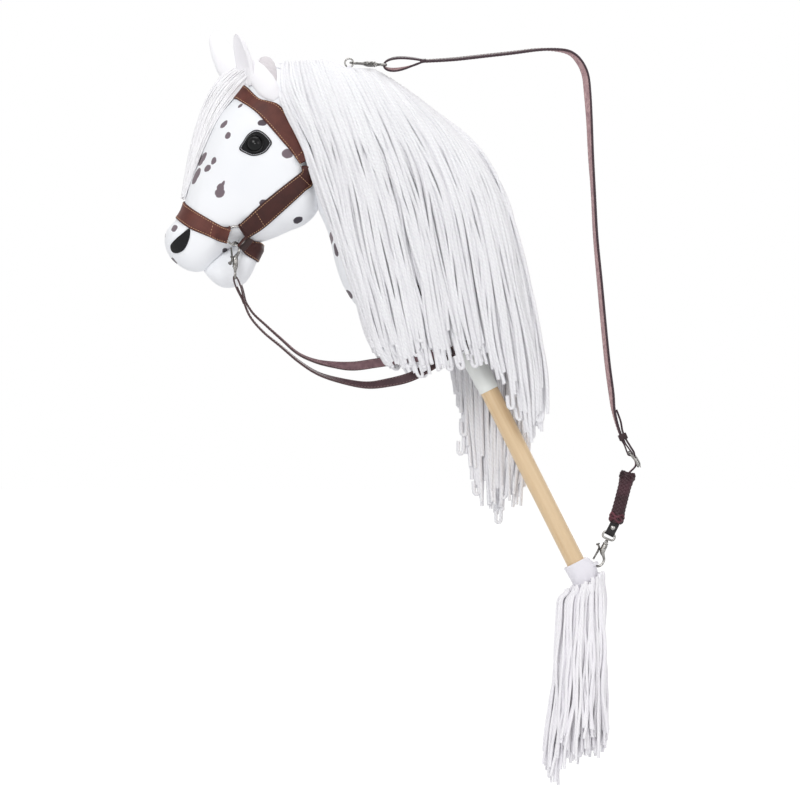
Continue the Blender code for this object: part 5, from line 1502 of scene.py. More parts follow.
def front_rows(rows, front, count=7):
    """Rows from the last one over the plane of symmetry to its mirror image, snug on the cloth."""
    middle = []
    upper, lower = (seen(*p) for p in front)
    for share in ACROSS_SHARES:
        near, out, _, _ = body_tree.find_nearest(upper.lerp(lower, share))
        out.y = 0
        near.y = 0
        middle.append((near + out.normalized() * HALTER_GAP, out.normalized()))
    made = []
    for step in range(1, 2 * count):
        t = step / count
        row = []
        for j, (mid, _) in enumerate(middle):
            before = rows[-2][j][0]
            start = rows[-1][j][0]
            end = Vector((start.x, -start.y, start.z))
            after = Vector((before.x, -before.y, before.z))
            spots = smooth_path([before, start, mid, end, after], count)
            spot = spots[count + step]
            near, out, _, _ = body_tree.find_nearest(spot)
            row.append((near + out * HALTER_GAP, out))
        made.append(row)
    return made


def mirrored_rows(rows):
    return [[(Vector((p.x, -p.y, p.z)), Vector((n.x, -n.y, n.z))) for p, n in row] for row in rows]


def strap_piece(name, rows, material, thick=HALTER_THICK):
    rings = []
    for row in rows:
        top = [p + n * (thick * edge) for (p, n), edge in zip(row, EDGE_SHAPE)]
        rings.append(top + [p for p, _ in row][::-1])
    return put(name, skin(name, rings), material, smooth_angle=70)


def seam(rows, share, thick=HALTER_THICK):
    """Line along a strap's outer face at a share of its width."""
    spot = min(range(len(ACROSS_SHARES)), key=lambda j: abs(ACROSS_SHARES[j] - share))
    return [row[spot][0] + row[spot][1] * (thick + 0.05 * MM) for row in rows]


def seam_across(row, thick=HALTER_THICK):
    return [p + n * (thick + 0.05 * MM) for p, n in row[2:-2]]


cheek_at = ring_middle("cheek_ring_left")
bit_at = ring_middle("bit_ring_left")
cheek_out = abs(cheek_at.y)
bit_out = abs(bit_at.y)


def wire_rise(ring_pixel, out_y, wire):
    flank, _ = on_flank(body_tree, *ring_pixel, -1)
    return out_y - abs(flank.y) + wire + 0.2 * MM


cheek_rise = wire_rise(CHEEK_RING, cheek_out, CHEEK_WIRE) - HALTER_GAP
bit_rise = wire_rise(BIT_RING, bit_out, BIT_WIRE) - HALTER_GAP


def middle_of(station):
    (ux, uy), (lx, ly) = station
    return (ux + lx) / 2, (uy + ly) / 2


def halter_piece(node, stations, front, ring, material, across_at):
    """One strap of the halter that goes from a ring on the left over the head to the one on the right."""
    ring_at, radius, wire, out_y, rise = ring
    laid = laid_rows(stations, [(middle_of(stations[0]), rise)])
    left = turned_end(ring_at, radius, wire, out_y, stations[0])[::-1] + laid
    over = front_rows(laid, front)
    rows = left + over + mirrored_rows(left)[::-1]
    piece = strap_piece(node + "_leather", rows, material)
    wear(piece, "horse", node)
    skip = len(left) - len(laid)
    shown = rows[skip:len(rows) - skip]
    lines = [seam(shown, 0.1), seam(shown, 0.9)]
    lines += [seam_across(shown[across_at]), seam_across(shown[-1 - across_at])]
    sew(node + "_stitches", lines, *HALTER_SEWING)


cheek_wire = (cheek_at, CHEEK_RING_RADIUS, CHEEK_WIRE, cheek_out, cheek_rise)
bit_wire = (bit_at, BIT_RING_RADIUS, BIT_WIRE, bit_out, bit_rise)
halter_piece("browband", BROWBAND, BROWBAND_FRONT, cheek_wire, HALTER_LEATHER, 5)
halter_piece("noseband", NOSEBAND, NOSEBAND_FRONT, bit_wire, HALTER_LEATHER, 10)
halter_piece("chin_strap", CHIN_STRAP, CHIN_FRONT, bit_wire, CHEEK_LEATHER, 3)

cheek_laid = laid_rows(CHEEK_STRAP, [(middle_of(CHEEK_STRAP[0]), cheek_rise),
                                     (middle_of(CHEEK_STRAP[-1]), bit_rise)])
cheek_rows = (turned_end(cheek_at, CHEEK_RING_RADIUS, CHEEK_WIRE, cheek_out, CHEEK_STRAP[0])[::-1]
              + cheek_laid + turned_end(bit_at, BIT_RING_RADIUS, BIT_WIRE, bit_out, CHEEK_STRAP[-1]))
cheek_lines = [seam(cheek_laid, 0.1), seam(cheek_laid, 0.9)] + [seam_across(cheek_laid[k]) for k in (7, 25)]
for side, sign in SIDES.items():
    rows = cheek_rows if sign < 0 else mirrored_rows(cheek_rows)
    strap = strap_piece("cheek_strap_leather_" + side, rows, CHEEK_LEATHER)
    wear(strap, "horse", "cheek_strap_" + side)
    lines = [[Vector((p.x, p.y * -sign, p.z)) for p in line] for line in cheek_lines]
    sew("cheek_strap_stitches_" + side, lines, *HALTER_SEWING)

# The crown strap goes from cheek ring to cheek ring over the poll, under the mane
CROWN_X = -289 * MM
CROWN_MIDDLE_Z = 440 * MM
crown_rows = []
for step in range(45):
    turn = math.radians(-14 + 208 * step / 44)
    out = Vector((0, -math.cos(turn), math.sin(turn)))
    row = []
    for share in ACROSS_SHARES:
        middle = Vector((CROWN_X + (share - 0.5) * 17 * MM, 0, CROWN_MIDDLE_Z))
        hit, normal, _, _ = body_tree.ray_cast(middle + out * 0.5, -out)
        row.append((hit + out * 0.9 * MM, normal if normal.dot(out) > 0 else -normal))
    crown_rows.append(row)
crown = strap_piece("crown_strap_leather", crown_rows, CHEEK_LEATHER)
wear(crown, "horse", "crown_strap")


# Snaps: trigger hooks turned and bent from nickel-plated rod. A barrel carries the fixed jaw, a lever
# with a thumb knob closes it, and a swivel with a bar at the end takes the strap.

SNAP_SIZE = 1.25 * MM
SWIVEL_TOP = 30.6
SNAP_LENGTH = 37
JAW_PATH = [(26, 0, 2.6), (25.6, 0, 3.0), (24.6, 0, 3.05), (24.2, 0, 2.5), (23.7, 0, 2.5), (23.2, 0, 3.0),
            (17.5, 0, 3.0), (15, 0.7, 2.4), (12.4, 3.0, 1.6), (9, 5.1, 1.35), (5, 5.2, 1.3), (1.8, 3.7, 1.3),
            (0, 0.6, 1.3), (0.5, -2.4, 1.25), (1.9, -3.9, 1.15)]
GATE_PATH = [(20.6, -6.0, 1.1), (18.6, -4.35, 1.2), (15, -4.35, 1.2), (9.6, -5.0, 1.0), (5.2, -5.5, 1.0)]
KNOB_TURNING = [(-1.2, 0.9), (-0.4, 1.0), (0, 1.9), (0.5, 2.1), (1.2, 2.1), (1.7, 1.7), (1.9, 0.9)]
SWIVEL_BAR = 1.15
# Half of the swivel's frame: distance from the nose, and how far inside its width
SWIVEL_CORNERS = [(SNAP_LENGTH, 2.2), (SNAP_LENGTH - 0.7, 0.5), (SNAP_LENGTH - 2.4, 0),
                  (SWIVEL_TOP + 1.9, 0), (SWIVEL_TOP + 0.5, 1.1), (SWIVEL_TOP, 2.6)]
# The gate's plating is a darker copy of the nickel: painted shade and reflection, standing in for the dark
# reflections on the snaps.
SHADED_NICKEL = plated("nickel_shaded", ink("#7c7a77"), ink("#343332"), 0.3)


def rod_rows(points, radii, sides=14, closed=False):
    rows = []
    ways = along_path(points, closed)
    side = ways[0].orthogonal().normalized()
    for point, way, radius in zip(points, ways, radii):
        side = square_to(side, way)
        rows.append(circle_round(point, side, way.cross(side), radius, sides))
    return rows


def joined(name, parts, *materials):
    """One piece out of several closed meshes."""
    bm = bmesh.new()
    for part in parts:
        bm.from_mesh(part)
        bpy.data.meshes.remove(part)
    bmesh.ops.recalc_face_normals(bm, faces=bm.faces)
    mesh = bpy.data.meshes.new(name)
    bm.to_mesh(mesh)
    bm.free()
    return put(name, mesh, *materials, smooth_angle=45)


def snap(label, side_label, nose, along, lateral, bar, room, strap_body):
    """Snap from its nose towards its strap bar, as its hook, gate and swivel."""
    along = along.normalized()
    lateral = square_to(lateral, along)
    across = along.cross(lateral)

    def place(u, v, w=0.0):
        return nose + along * (u * SNAP_SIZE) + lateral * (v * SNAP_SIZE) + bar * w

    def bent(path, steps):
        spots = smooth_path([Vector(p) for p in path], steps)
        return skin("rod", rod_rows([place(u, v) for u, v, _ in spots],
                                    [r * SNAP_SIZE for _, _, r in spots]))

    def turned(middle, way, profile):
        first = way.orthogonal().normalized()
        return skin("turned", [circle_round(middle + way * (rise * SNAP_SIZE), first, way.cross(first),
                                            r * SNAP_SIZE, 16) for rise, r in profile])

    hook = joined(label + "_hook_metal" + side_label, [
        bent(JAW_PATH, 4),
        turned(place(17.8, -1.2), across, [(-2.3, 0.5), (-2.25, 1.0), (-2.0, 1.15), (2.0, 1.15), (2.25, 1.0),
                                          (2.3, 0.5)])], NICKEL)
    gate = joined(label + "_gate_metal" + side_label, [
        bent(GATE_PATH, 4),
        turned(place(21.2, -6.6), (place(22.4, -7.8) - place(21, -6.4)).normalized(), KNOB_TURNING),
        turned(place(15, -4.35), across, [(-1.75, 0.3), (-1.7, 0.9), (-1.5, 1.05), (1.5, 1.05), (1.7, 0.9),
                                          (1.75, 0.3)])], SHADED_NICKEL)
    half = room / 2 + SWIVEL_BAR * SNAP_SIZE
    right_half = [(u, half - inset * SNAP_SIZE) for u, inset in SWIVEL_CORNERS]
    left_half = [(u, -w) for u, w in right_half[::-1]]
    corners = [left_half[-1], *right_half, (SWIVEL_TOP, 0), *left_half[:-1]]
    loop = smooth_path([place(u, 0, w) for u, w in corners], 4, closed=True)
    swivel = joined(label + "_swivel_metal" + side_label, [
        skin("loop", rod_rows(loop, [SWIVEL_BAR * SNAP_SIZE] * len(loop), 12, closed=True), closed=True),
        turned(place(0, 0), along, [(23.4, 0.4), (23.5, 1.05), (26.3, 1.05), (26.35, 1.8), (26.5, 2.25),
                                    (27.4, 2.25), (27.7, 1.9), (28.2, 1.5), (SWIVEL_TOP - 0.4, 1.5),
                                    (SWIVEL_TOP + 0.4, 1.1)])], NICKEL)
    for piece, kind, body in ((hook, "hook", label + "_hook" + side_label),
                              (gate, "gate", label + "_gate" + side_label), (swivel, "swivel", strap_body)):
        wear(piece, body, label + "_" + kind + side_label)
    return place(SNAP_LENGTH, 0)


REIN_WIDTH = 12.4 * MM
CARRY_WIDTH = 15 * MM
TAB_WIDTH = 12 * MM
RUN = 0.4 * MM
JAW_REACH = 1.3 * SNAP_SIZE
HOOK_SLACK = 0.9 * MM
REIN_SNAP_TURN = math.radians(42)
rein_bars = {}
for side, sign in SIDES.items():
    nose = ring_middle("bit_ring_" + side) + UP * (BIT_WIRE + JAW_REACH + HOOK_SLACK - BIT_RING_RADIUS)
    nose.x -= 1 * MM
    rein_bars[side] = snap("rein", "_" + side, nose, -UP,
                           Vector((math.cos(REIN_SNAP_TURN), -sign * math.sin(REIN_SNAP_TURN), 0)), ACROSS,
                           REIN_WIDTH + 2 * RUN, "reins")
top_nose = ring_middle("crest_ring") + ALONG * (CREST_RING_RADIUS - CREST_WIRE - JAW_REACH - HOOK_SLACK)
top_bar = snap("top", "", top_nose, Vector((1, 0, -0.06)), ACROSS, ACROSS, CARRY_WIDTH + 2 * RUN, "carry")
lower_side = Vector((lower_way.z, 0, -lower_way.x))
lower_bar = snap("lower", "", lower_nose, lower_way, lower_side, lower_side, TAB_WIDTH + 2 * RUN, "carry")

# The crest ring's tab: a folded scrap of the white cotton, sewn into the crest seam
tab_low, tab_high = (Vector(v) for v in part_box("crest_tab"))
tab_middle = (tab_low + tab_high) / 2
tab_rows = [box_round(Vector((tab_middle.x, 0, tab_low.z + (tab_high.z - tab_low.z) * share)), ALONG, ACROSS,
                      3.3 * MM * wide, 2.7 * MM * wide, 1.0 * MM, 4)
            for share, wide in ((0, 1.0), (0.3, 0.98), (0.6, 1.0), (0.85, 0.95), (0.96, 0.8), (1.0, 0.55))]
crest_tab = put("crest_tab_cotton", skin("crest_tab_cotton", tab_rows), webbing.material, smooth_angle=60)
wear(crest_tab, "horse", "crest_tab")


# Reins: one long strap of thin dark leather, smooth outside and pink suede inside, stitched along both
# edges. Each end is turned round a snap's bar and sewn back on itself, and the middle hangs behind the neck.

REIN_THICK = 2.4 * MM
REIN_EYE_HALF = 4.2 * MM
REIN_NEAR = [(-377, 233, -39, 0), (-368, 211, -39, 0.03), (-351, 191, -40, 0.06), (-328, 172, -41, 0.1),
             (-304, 152, -42, 0.15), (-280, 137, -42, 0.22), (-252, 128, -42, 0.35), (-218, 122, -41, 0.5),
             (-190, 125, -39, 0.65), (-162, 132, -36, 0.85), (-137, 145, -33, 1)]
REIN_FAR = [(-377, 233, 39, 0), (-366, 216, 39, 0.03), (-350, 201, 40, 0.06), (-330, 183, 41, 0.1),
            (-308, 164, 42, 0.15), (-286, 154, 42, 0.25), (-262, 149, 42, 0.45), (-235, 147, 41, 0.75),
            (-205, 151, 39, 1), (-172, 156, 36, 1), (-142, 160, 32, 1)]
REIN_WRAP = [(-196, -13, -28.5), (-194, 3, -28), (-191, 18, -23), (-188, 29, -9), (-188, 29, 9),
             (-191, 18, 23), (-194, 3, 28), (-196, -13, 28.5)]
SWIVEL_WIRE = SWIVEL_BAR * SNAP_SIZE
GRAIN_SIDE = (0.165, 0.42)
FLESH_SIDE = (0.665, 0.918)


def strap_leather(name, grain, dark, flesh, flesh_dark, edge):
    """Strap leather: smooth grain outside, raw suede inside, inked edges."""
    hide = Finish(name, 0.55, specular_ior_level=0.3)
    around = hide.share_around()
    here = hide.place()
    cloud = hide.noise(here, 60, 3, 0.5)
    pebbles = hide.pebbles(here, 800.0)
    nap = hide.noise(here, 1500, 4, 0.3)
    patches = hide.noise(here, 130, 3, 0.5)
    outside = hide.blend(pebbles * 0.35, hide.ramp(cloud, (0.3, dark), (0.7, grain)), dark)
    inside = hide.blend(nap * 0.5, hide.ramp(patches, (0.32, flesh_dark), (0.68, flesh)), flesh_dark)
    rim = hide.blend(hide.between(nap, 0.56, 0.66) * 0.3, edge, flesh_dark)
    is_flesh, is_grain = (hide.maths("GREATER_THAN", around, low) * hide.maths("LESS_THAN", around, high)
                          for low, high in (FLESH_SIDE, GRAIN_SIDE))
    colour = hide.blend(is_grain, rim, outside)
    colour = hide.blend(is_flesh, colour, inside)
    hide.drive("Base Color", colour)
    hide.drive("Roughness", is_flesh * 0.35 + pebbles * 0.1 + 0.45)
    rough = hide.bump(nap, 0.15 * MM, 0.5)
    hide.bump(pebbles, 0.1 * MM, 0.5, rough)
    return hide.material


STRAP_LEATHER = strap_leather("strap_leather", ink("#3d262b"), ink("#24161a"), ink("#cfafae"),
                              ink("#9f8085"), ink("#33212a"))
REIN_LEATHER = strap_leather("rein_leather", ink("#4f353a"), ink("#38252a"), ink("#8f7074"),
                             ink("#6c5258"), ink("#4c393b"))
STRAP_THREAD = thread("strap_thread", ink("#a88e88"), ink("#7a6260"))


def flat_strap(points, marks, width, thick, closed=False):
    """Strap mesh whose four sides take equal shares of the way round, for its two-faced leather."""
    rows = []
    for i, (point, way) in enumerate(zip(points, along_path(points, closed))):
        mark = square_to(marks[i], way)
        rise = way.cross(mark)
        half, up = width / 2, thick / 2
        bevel = thick * 0.3
        corners = ((half - bevel, up), (-half + bevel, up), (-half, up - bevel), (-half, -up + bevel),
                   (-half + bevel, -up), (half - bevel, -up), (half, -up + bevel), (half, up - bevel))
        inner = half - 2.2 * bevel
        ring = [corners[0], (inner, up * 1.0), (-inner, up * 1.0), corners[1], corners[2], corners[3],
                corners[4], (-inner, -up), (inner, -up), corners[5], corners[6], corners[7]]
        ring = ring[-2:] + ring[:-2]
        rows.append([point + mark * a + rise * b for a, b in ring])
    return skin("strap", rows, closed=closed)


def teardrop(bar, away, across, radius, length, half, count=34):
    """Middle line of a strap turned round a bar, its two legs meeting at the far end."""
    points = []
    for i in range(count):
        turn = math.radians(4) + math.radians(352) * i / (count - 1)
        out = -radius + (length + radius) * (1 + math.cos(turn)) / 2
        side = half * math.sin(turn) * abs(math.sin(turn / 2)) ** 1.3
        least = 1.1 * MM * (1 if turn < math.pi else -1)
        if abs(side) < abs(least) and out > length * 0.5:
            side = least
        points.append(bar + away * out + across * side)
    return points


def edge_seams(points, marks, width, thick, inset=1.7 * MM):
    """Lines for the stitches near both edges, on both faces of a strap."""
    lines = [[], [], [], []]
    for i, (point, way) in enumerate(zip(points, along_path(points))):
        mark = square_to(marks[i], way)
        rise = way.cross(mark)
        for k, (a, b) in enumerate(((1, 1), (-1, 1), (1, -1), (-1, -1))):
            lines[k].append(point + mark * (a * (width / 2 - inset)) + rise * (b * (thick / 2 + 0.03 * MM)))
    return lines


rein_points, rein_flats = [], []
for route in (REIN_NEAR, REIN_FAR[::-1]):
    for x, z, y, flat in route:
        rein_points.append(Vector((x, y, z)) * MM)
        rein_flats.append(flat)
    if route is REIN_NEAR:
        for along, out, y in REIN_WRAP:
            rein_points.append(stick_point(along * MM, out * MM, y * MM))
            rein_flats.append(None)
rein_marks = []
for way, flat in zip(along_path(rein_points), rein_flats):
    in_plane = way.cross(ACROSS).normalized()
    if in_plane.z > 0:
        in_plane = -in_plane
    rein_marks.append(-STICK_DOWN if flat is None
                      else (ACROSS * (1 - flat) - in_plane * flat).normalized())
rein_path = smooth_path(rein_points, 7)
rein_turns = smooth_path(rein_marks, 7)
parts = [flat_strap(rein_path, rein_turns, REIN_WIDTH, REIN_THICK)]
for side, sign in SIDES.items():
    bar = rein_bars[side]
    start = REIN_NEAR[0] if sign < 0 else REIN_FAR[0]
    away = Vector((start[0] * MM, bar.y, start[1] * MM)) - bar
    eye = teardrop(bar, away.normalized(), away.cross(ACROSS).normalized(), SWIVEL_WIRE + RUN + 1.0 * MM,
                   away.length + 6 * MM, REIN_EYE_HALF)
    parts.append(flat_strap(eye, [-ACROSS] * len(eye), REIN_WIDTH, 2.0 * MM))
rein = joined("rein_leather", parts, REIN_LEATHER)
wear(rein, "reins", "rein")
sew("rein_stitches", edge_seams(rein_path, rein_turns, REIN_WIDTH, REIN_THICK), STRAP_THREAD, "reins",
    "rein_leather", 4.2 * MM, 1.1 * MM, 0.26 * MM)


# Carry strap: a wider strap of the same leather. It is sewn in a loop round the top snap's bar, runs out
# and down behind the horse, and folds round the buckle's bar. The rest is a keeper, a nickel-plated
# buckle with its prong, and the billet strap that comes up through them.

CARRY_THICK = 3.4 * MM
CARRY_EYE_HALF = 10.5 * MM
CARRY_RUN = [(-148, 543, -0.12), (-128, 544, -0.18), (-100, 546, -0.22), (-64, 550, -0.22), (-28, 554, -0.2),
             (5, 558, -0.13), (29, 558, 0.03), (47, 554, 0.19), (59, 543, 0.32), (67, 526, 0.37),
             (70, 502, 0.38), (72.5, 465, 0.31), (74.5, 420, 0.27), (77.5, 372, 0.2),
             (80.5, 315, 0.22), (86, 255, 0.26), (91, 200, 0.27),
             (96, 150, 0.27), (101, 112, 0.26), (104, 88, 0.12), (110.5, 64, 0), (118.5, 45, 0)]


def backwards(way):
    """Direction square to a way that points away behind the horse."""
    out = ACROSS.cross(way).normalized()
    return out if out.x > 0 else -out


BUCKLE_BAR = Vector((125, 0, 33)) * MM
BUCKLE_WAY = Vector((0.28, 0, -0.96)).normalized()
BUCKLE_OUT = backwards(BUCKLE_WAY)
BUCKLE_WIRE = 1.4 * MM
PRONG_WIRE = 1.1 * MM
FOLD_RADIUS = 2.6 * MM
BUCKLE_ROUND = [(0, 0, -7.2), (0, 0, 0), (0, 0, 7.2), (0.5, 0.15, 8.7), (1.3, 0.5, 9.5), (3, 1.2, 9.7),
                (9.5, 4.05, 9.7), (15.8, 5.3, 9.7), (17.8, 5.4, 9.4), (18.8, 5.4, 8.4), (19, 5.4, 6.8),
                (19, 5.4, 0)]
PRONG_RUN = [(3.6, 5.2), (8, 7.0), (15.2, 8.4), (18.6, 8.1), (21.2, 8.3)]


def buckle_place(down, out, across=0.0):
    return BUCKLE_BAR + BUCKLE_WAY * (down * MM) + BUCKLE_OUT * (out * MM) + ACROSS * (across * MM)


carry_points = [Vector((x, 0, z)) * MM for x, z, _ in CARRY_RUN]
carry_marks = []
for way, (_, _, turn) in zip(along_path(carry_points), CARRY_RUN):
    carry_marks.append((ACROSS * (1 - turn) - way.cross(ACROSS).normalized() * turn).normalized())
carry_path = smooth_path(carry_points, 7)
carry_turns = smooth_path(carry_marks, 7)
top_away = carry_points[0] - top_bar
eye = teardrop(top_bar, top_away.normalized(), UP, SWIVEL_WIRE + RUN + 1.2 * MM, top_away.length + 8 * MM,
               CARRY_EYE_HALF)
# The loop leans over a little, its lower leg more
eye_marks = []
for place in eye:
    rise = (place - top_bar).dot(UP) / CARRY_EYE_HALF
    eye_marks.append(-(ACROSS + UP * (0.2 * rise if rise > 0 else -0.48 * rise)))
# At the buckle the strap thins and folds round the bar, and its end is sewn behind; the fold is
# slotted for the prong, so it is two bands side by side
last = carry_path[-1]
last_way = (BUCKLE_BAR - last).normalized()
fold = [last - last_way * 6 * MM + BUCKLE_OUT * 0.7 * MM, last + BUCKLE_OUT * 1.0 * MM,
        BUCKLE_BAR + BUCKLE_OUT * FOLD_RADIUS - last_way * 3 * MM]
for k in range(9):
    turn = math.radians(90 - 22.5 * k)
    fold.append(BUCKLE_BAR + (BUCKLE_OUT * math.sin(turn) + BUCKLE_WAY * math.cos(turn)) * FOLD_RADIUS)
fold += [BUCKLE_BAR - BUCKLE_OUT * FOLD_RADIUS - last_way * 3 * MM, last - BUCKLE_OUT * 1.0 * MM,
         last - last_way * 8 * MM - BUCKLE_OUT * 1.7 * MM, last - last_way * 14 * MM - BUCKLE_OUT * 1.8 * MM]
fold = smooth_path(fold, 2)
carry_parts = [flat_strap(carry_path, carry_turns, CARRY_WIDTH, CARRY_THICK),
               flat_strap(eye, eye_marks, CARRY_WIDTH, 2.6 * MM)]
for sign in (1, -1):
    band = [p + ACROSS * (sign * 4.6 * MM) for p in fold]
    carry_parts.append(flat_strap(band, [ACROSS] * len(band), 5.4 * MM, 1.6 * MM))
carry = joined("carry_strap_leather", carry_parts, STRAP_LEATHER)
wear(carry, "carry", "carry_strap")
sew("carry_strap_stitches", edge_seams(carry_path, carry_turns, CARRY_WIDTH, CARRY_THICK), STRAP_THREAD,
    "carry", "rein_leather", 4.4 * MM, 1.1 * MM, 0.3 * MM)

frame_half = [buckle_place(down, out, across) for down, out, across in BUCKLE_ROUND]
frame_round = smooth_path(frame_half + [buckle_place(down, out, -across) for down, out, across
                                        in BUCKLE_ROUND[::-1] if across > 0 and down > 0], 3, closed=True)
frame_rows = rod_rows(frame_round, [BUCKLE_WIRE] * len(frame_round), closed=True)
buckle = joined("buckle_frame_wire", [skin("buckle", frame_rows, closed=True)], NICKEL)
wear(buckle, "carry", "buckle_frame")
prong_line = []
for k in range(9):
    turn = math.radians(-60 - 30 * k)
    prong_line.append(buckle_place(2.9 * math.cos(turn), 2.9 * math.sin(turn)))
prong_line += [buckle_place(down, out) for down, out in PRONG_RUN]
prong_line = smooth_path(prong_line, 3)
prong_stout = [PRONG_WIRE * (1 if i < len(prong_line) - 7 else 1 - 0.09 * (i - len(prong_line) + 7))
               for i in range(len(prong_line))]
prong = joined("buckle_prong_wire", [skin("prong", rod_rows(prong_line, prong_stout, 14))], NICKEL)
wear(prong, "prong", "buckle_prong")

# Keeper: a narrow loop of the same leather, sewn round strap and billet
keeper_way = (carry_points[-1] - carry_points[-2]).normalized()
keeper_out = backwards(keeper_way)
keeper_centre = Vector((114.6, 0, 54.3)) * MM + keeper_out * 1.25 * MM
keeper_round = box_round(keeper_centre, ACROSS, keeper_out, 8.6 * MM, 4.85 * MM, 1.5 * MM, 5)
keeper = joined("strap_keeper_leather", [flat_strap(keeper_round, [keeper_way] * len(keeper_round), 8 * MM,
                                                    1.4 * MM, closed=True)], STRAP_LEATHER)
wear(keeper, "carry", "strap_keeper")


# Grip: four leather thongs plaited round the billet strap between the buckle and the lower snap. The
# billet's end is held in a folded black tab by one dome-headed rivet.

GRIP_TOP = Vector((123, 0, 9)) * MM
GRIP_LOW = lower_bar + Vector((6.95, 0, 13.42)) * MM
GRIP_RADIUS = 9 * MM
GRIP_PROFILE = [(0, 0.9), (0.04, 1.0), (0.13, 1.1), (0.26, 1.0), (0.48, 0.98), (0.7, 0.98), (0.86, 1.08),
                (0.95, 1.12), (1, 1.04)]
THONGS = 7
THONG_TURNS = 1.9
THONG_STEPS = 170
THONG_WIDTH = 4.3 * MM
THONG_THICK = 1.1 * MM
grip_way = (GRIP_TOP - GRIP_LOW).normalized()
grip_side = grip_way.cross(ACROSS).normalized()
grip_length = (GRIP_TOP - GRIP_LOW).length


def grip_radius(share):
    for (a, ra), (b, rb) in zip(GRIP_PROFILE, GRIP_PROFILE[1:]):
        if share <= b:
            t = max(0, (share - a) / (b - a))
            return GRIP_RADIUS * (ra + (rb - ra) * t * t * (3 - 2 * t))
    return GRIP_RADIUS * GRIP_PROFILE[-1][1]


THONG_SHAPE = ((1, -0.6), (0.82, 0.5), (0.35, 1), (-0.35, 1), (-0.82, 0.5), (-1, -0.6), (0, -1))
KNOT_SHAPE = ((1, -0.8), (0.8, 0.5), (0.3, 1), (-0.3, 1), (-0.8, 0.5), (-1, -0.8), (0, -1.2))
KNOT_WIDTH = 2.9 * MM
KNOT_THICK = 1.1 * MM
KNOT_STEPS = 72


def thong_row(spot, out, way, width, thick, shape):
    """Cross section of a thong that lies on the grip."""
    wide = way.cross(out).normalized()
    return [spot + wide * (a * width / 2) + out * (b * thick / 2) for a, b in shape]


def grip_spot(share, turn, inward):
    out = grip_side * math.cos(turn) + ACROSS * math.sin(turn)
    return GRIP_LOW + grip_way * (share * grip_length) + out * (grip_radius(share) - inward), out


PLAIT_LEATHER = leather("plaited_leather", ink("#4e3038"), ink("#271519"), grain=700, roughness=0.45)
KNOT_LEATHER = leather("knot_leather", ink("#7a3f4c"), ink("#3f2028"), grain=700, roughness=0.45)
core_rows = [[grip_spot(k / 30, math.radians(15 * i), THONG_THICK * 1.5)[0] for i in range(24)]
             for k in range(31)]
grip_parts = [skin("core", core_rows)]
for hand in (1, -1):
    for number in range(THONGS):
        rows = []
        for i in range(THONG_STEPS):
            share = 0.012 + 0.976 * i / (THONG_STEPS - 1)
            turn = hand * (2 * math.pi * (THONG_TURNS * share + number / THONGS))
            over = hand * math.cos(THONGS * THONG_TURNS * 2 * math.pi * share)
            inward = THONG_THICK * (1.0 - 0.5 * over)
            spot, out = grip_spot(share, turn, inward)
            after, _ = grip_spot(share + 0.002, turn + hand * 2 * math.pi * THONG_TURNS * 0.002, inward)
            rows.append(thong_row(spot, out, (after - spot).normalized(), THONG_WIDTH, THONG_THICK,
                                  THONG_SHAPE))
        grip_parts.append(skin("thong", rows))
grip = joined("grip_plait", grip_parts, PLAIT_LEATHER)
wear(grip, "carry", "grip")
# A flat knot of the same thong finishes the plait at each end
for label, middle, reach in (("low", 0.1, 0.075), ("top", 0.93, 0.06)):
    knot_parts = []
    for turns in range(3):
        ring = []
        for i in range(KNOT_STEPS):
            turn = 2 * math.pi * i / KNOT_STEPS
            share = middle + reach * (turns - 1) * 0.62 + reach * 0.34 * math.sin(4 * turn + turns * 2.1)
            spot, out = grip_spot(share, turn, -0.1 * MM - 0.35 * MM * math.cos(4 * turn + turns * 1.7))
            ring.append((spot, out))
        rows = []
        for i, (spot, out) in enumerate(ring):
            way = (ring[(i + 1) % KNOT_STEPS][0] - ring[i - 1][0]).normalized()
            rows.append(thong_row(spot, out, way, KNOT_WIDTH, KNOT_THICK, KNOT_SHAPE))
        knot_parts.append(skin("knot", rows, closed=True))
    knot = joined("grip_knot_" + label, knot_parts, KNOT_LEATHER if label == "low" else PLAIT_LEATHER)
    wear(knot, "carry")

BILLET_WIDTH = 11.6 * MM
BILLET_THICK = 2.2 * MM
BILLET_TIP = [(107.4, 90.1), (112.8, 75.3), (115.2, 62.8), (119.3, 52.7), (126.3, 41)]
tab_up = (GRIP_LOW - lower_bar).normalized()
tab_side = tab_up.cross(ACROSS).normalized()
billet_points = [Vector((x, 0, z)) * MM for x, z in BILLET_TIP]
billet_points += [buckle_place(0, 5.4), buckle_place(8, 4.2), buckle_place(17.5, 2.3)]
billet_marks = [ACROSS] * len(billet_points)
for place, share in ((GRIP_TOP - grip_way * (grip_length * 0.045), 0),
                     (GRIP_TOP - grip_way * (grip_length * 0.205), 0.1),
                     ((GRIP_TOP + GRIP_LOW) / 2, 0.5), (GRIP_LOW + grip_way * (grip_length * 0.175), 0.9),
                     (GRIP_LOW, 1), (lower_bar + tab_up * 11 * MM, 1), (lower_bar + tab_up * 5 * MM, 1)):
    billet_points.append(place)
    billet_marks.append((ACROSS * (1 - share) - grip_side * share).normalized())
billet_path = smooth_path(billet_points, 6)
billet_turns = smooth_path(billet_marks, 6)
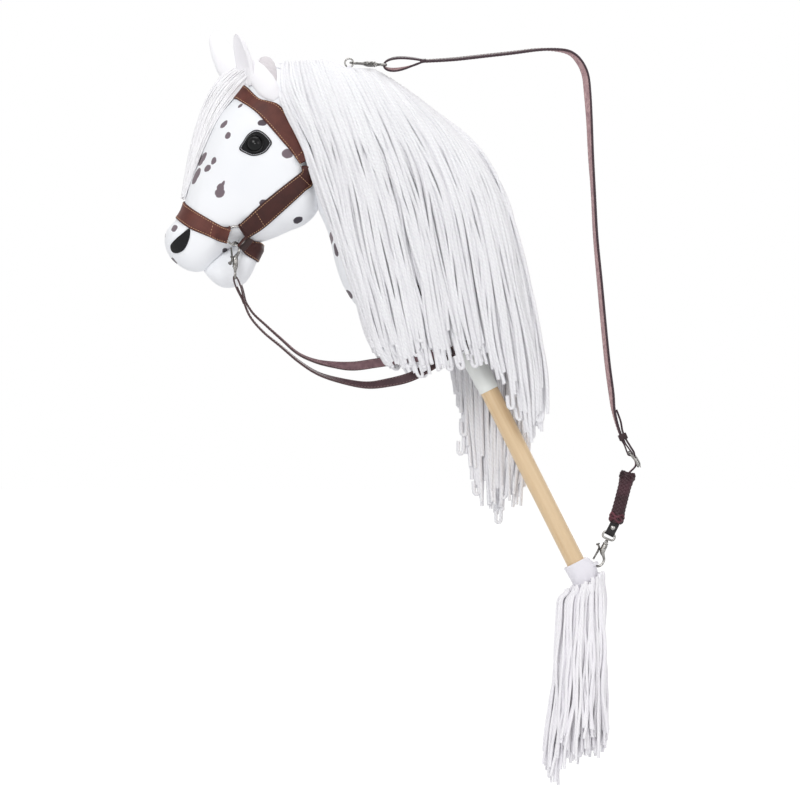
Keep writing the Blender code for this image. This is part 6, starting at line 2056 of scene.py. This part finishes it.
# A punched slot lets the prong through
billet = put("billet_leather", flat_strap(billet_path, billet_turns, BILLET_WIDTH, BILLET_THICK),
             STRAP_LEATHER, smooth_angle=45)
hole_middle = buckle_place(3.4, 5.2)
hole_rows = [circle_round(hole_middle + BUCKLE_OUT * (rise * MM), BUCKLE_WAY * 2.1, ACROSS, 1.9 * MM, 20)
             for rise in (-6, 6)]
cutter = put("hole_cutter", skin("cutter", hole_rows), STRAP_LEATHER)
opening = billet.modifiers.new("hole", "BOOLEAN")
opening.operation = "DIFFERENCE"
opening.solver = "EXACT"
opening.object = cutter
final_mesh(billet)
bpy.data.objects.remove(cutter)
wear(billet, "carry", "billet")

BLACK_HIDE = leather("black_leather", ink("#2b2527"), ink("#171315"), grain=800, roughness=0.42)
TAB_THICK = 1.6 * MM
tab_leg = BILLET_THICK / 2 + 0.05 * MM + TAB_THICK / 2
tab_turn = SWIVEL_WIRE + RUN + TAB_THICK / 2
tab_reach = (GRIP_LOW - lower_bar).length - 0.3 * MM
tab_path = [(tab_reach, -tab_leg), (10 * MM, -tab_leg), (6 * MM, -tab_leg), (3 * MM, -tab_turn)]
for k in range(7):
    turn = math.radians(-90 - 30 * k)
    tab_path.append((tab_turn * math.cos(turn), tab_turn * math.sin(turn)))
tab_path += [(3 * MM, tab_turn), (6 * MM, tab_leg), (10 * MM, tab_leg), (tab_reach, tab_leg)]
tab_line = smooth_path([lower_bar + tab_up * up + ACROSS * y for up, y in tab_path], 3)
tab = joined("end_tab_leather", [flat_strap(tab_line, [tab_side] * len(tab_line), TAB_WIDTH, TAB_THICK)],
             BLACK_HIDE)
wear(tab, "carry", "end_tab")
RIVET_TURNING = [(0.2, 4.55), (1.1, 4.5), (2.0, 4.3), (2.8, 3.95), (3.15, 3.6), (3.2, 3.32), (1.45, 3.3)]
rivet_place = lower_bar + tab_up * 8 * MM
rivet_rows = [circle_round(rivet_place + ACROSS * (out * MM), tab_up, tab_side, r * MM, 24)
              for r, out in [(r, -out) for r, out in RIVET_TURNING] + RIVET_TURNING[::-1]]
rivet = joined("tab_rivet_metal", [skin("rivet", rivet_rows)], NICKEL)
wear(rivet, "carry", "tab_rivet")
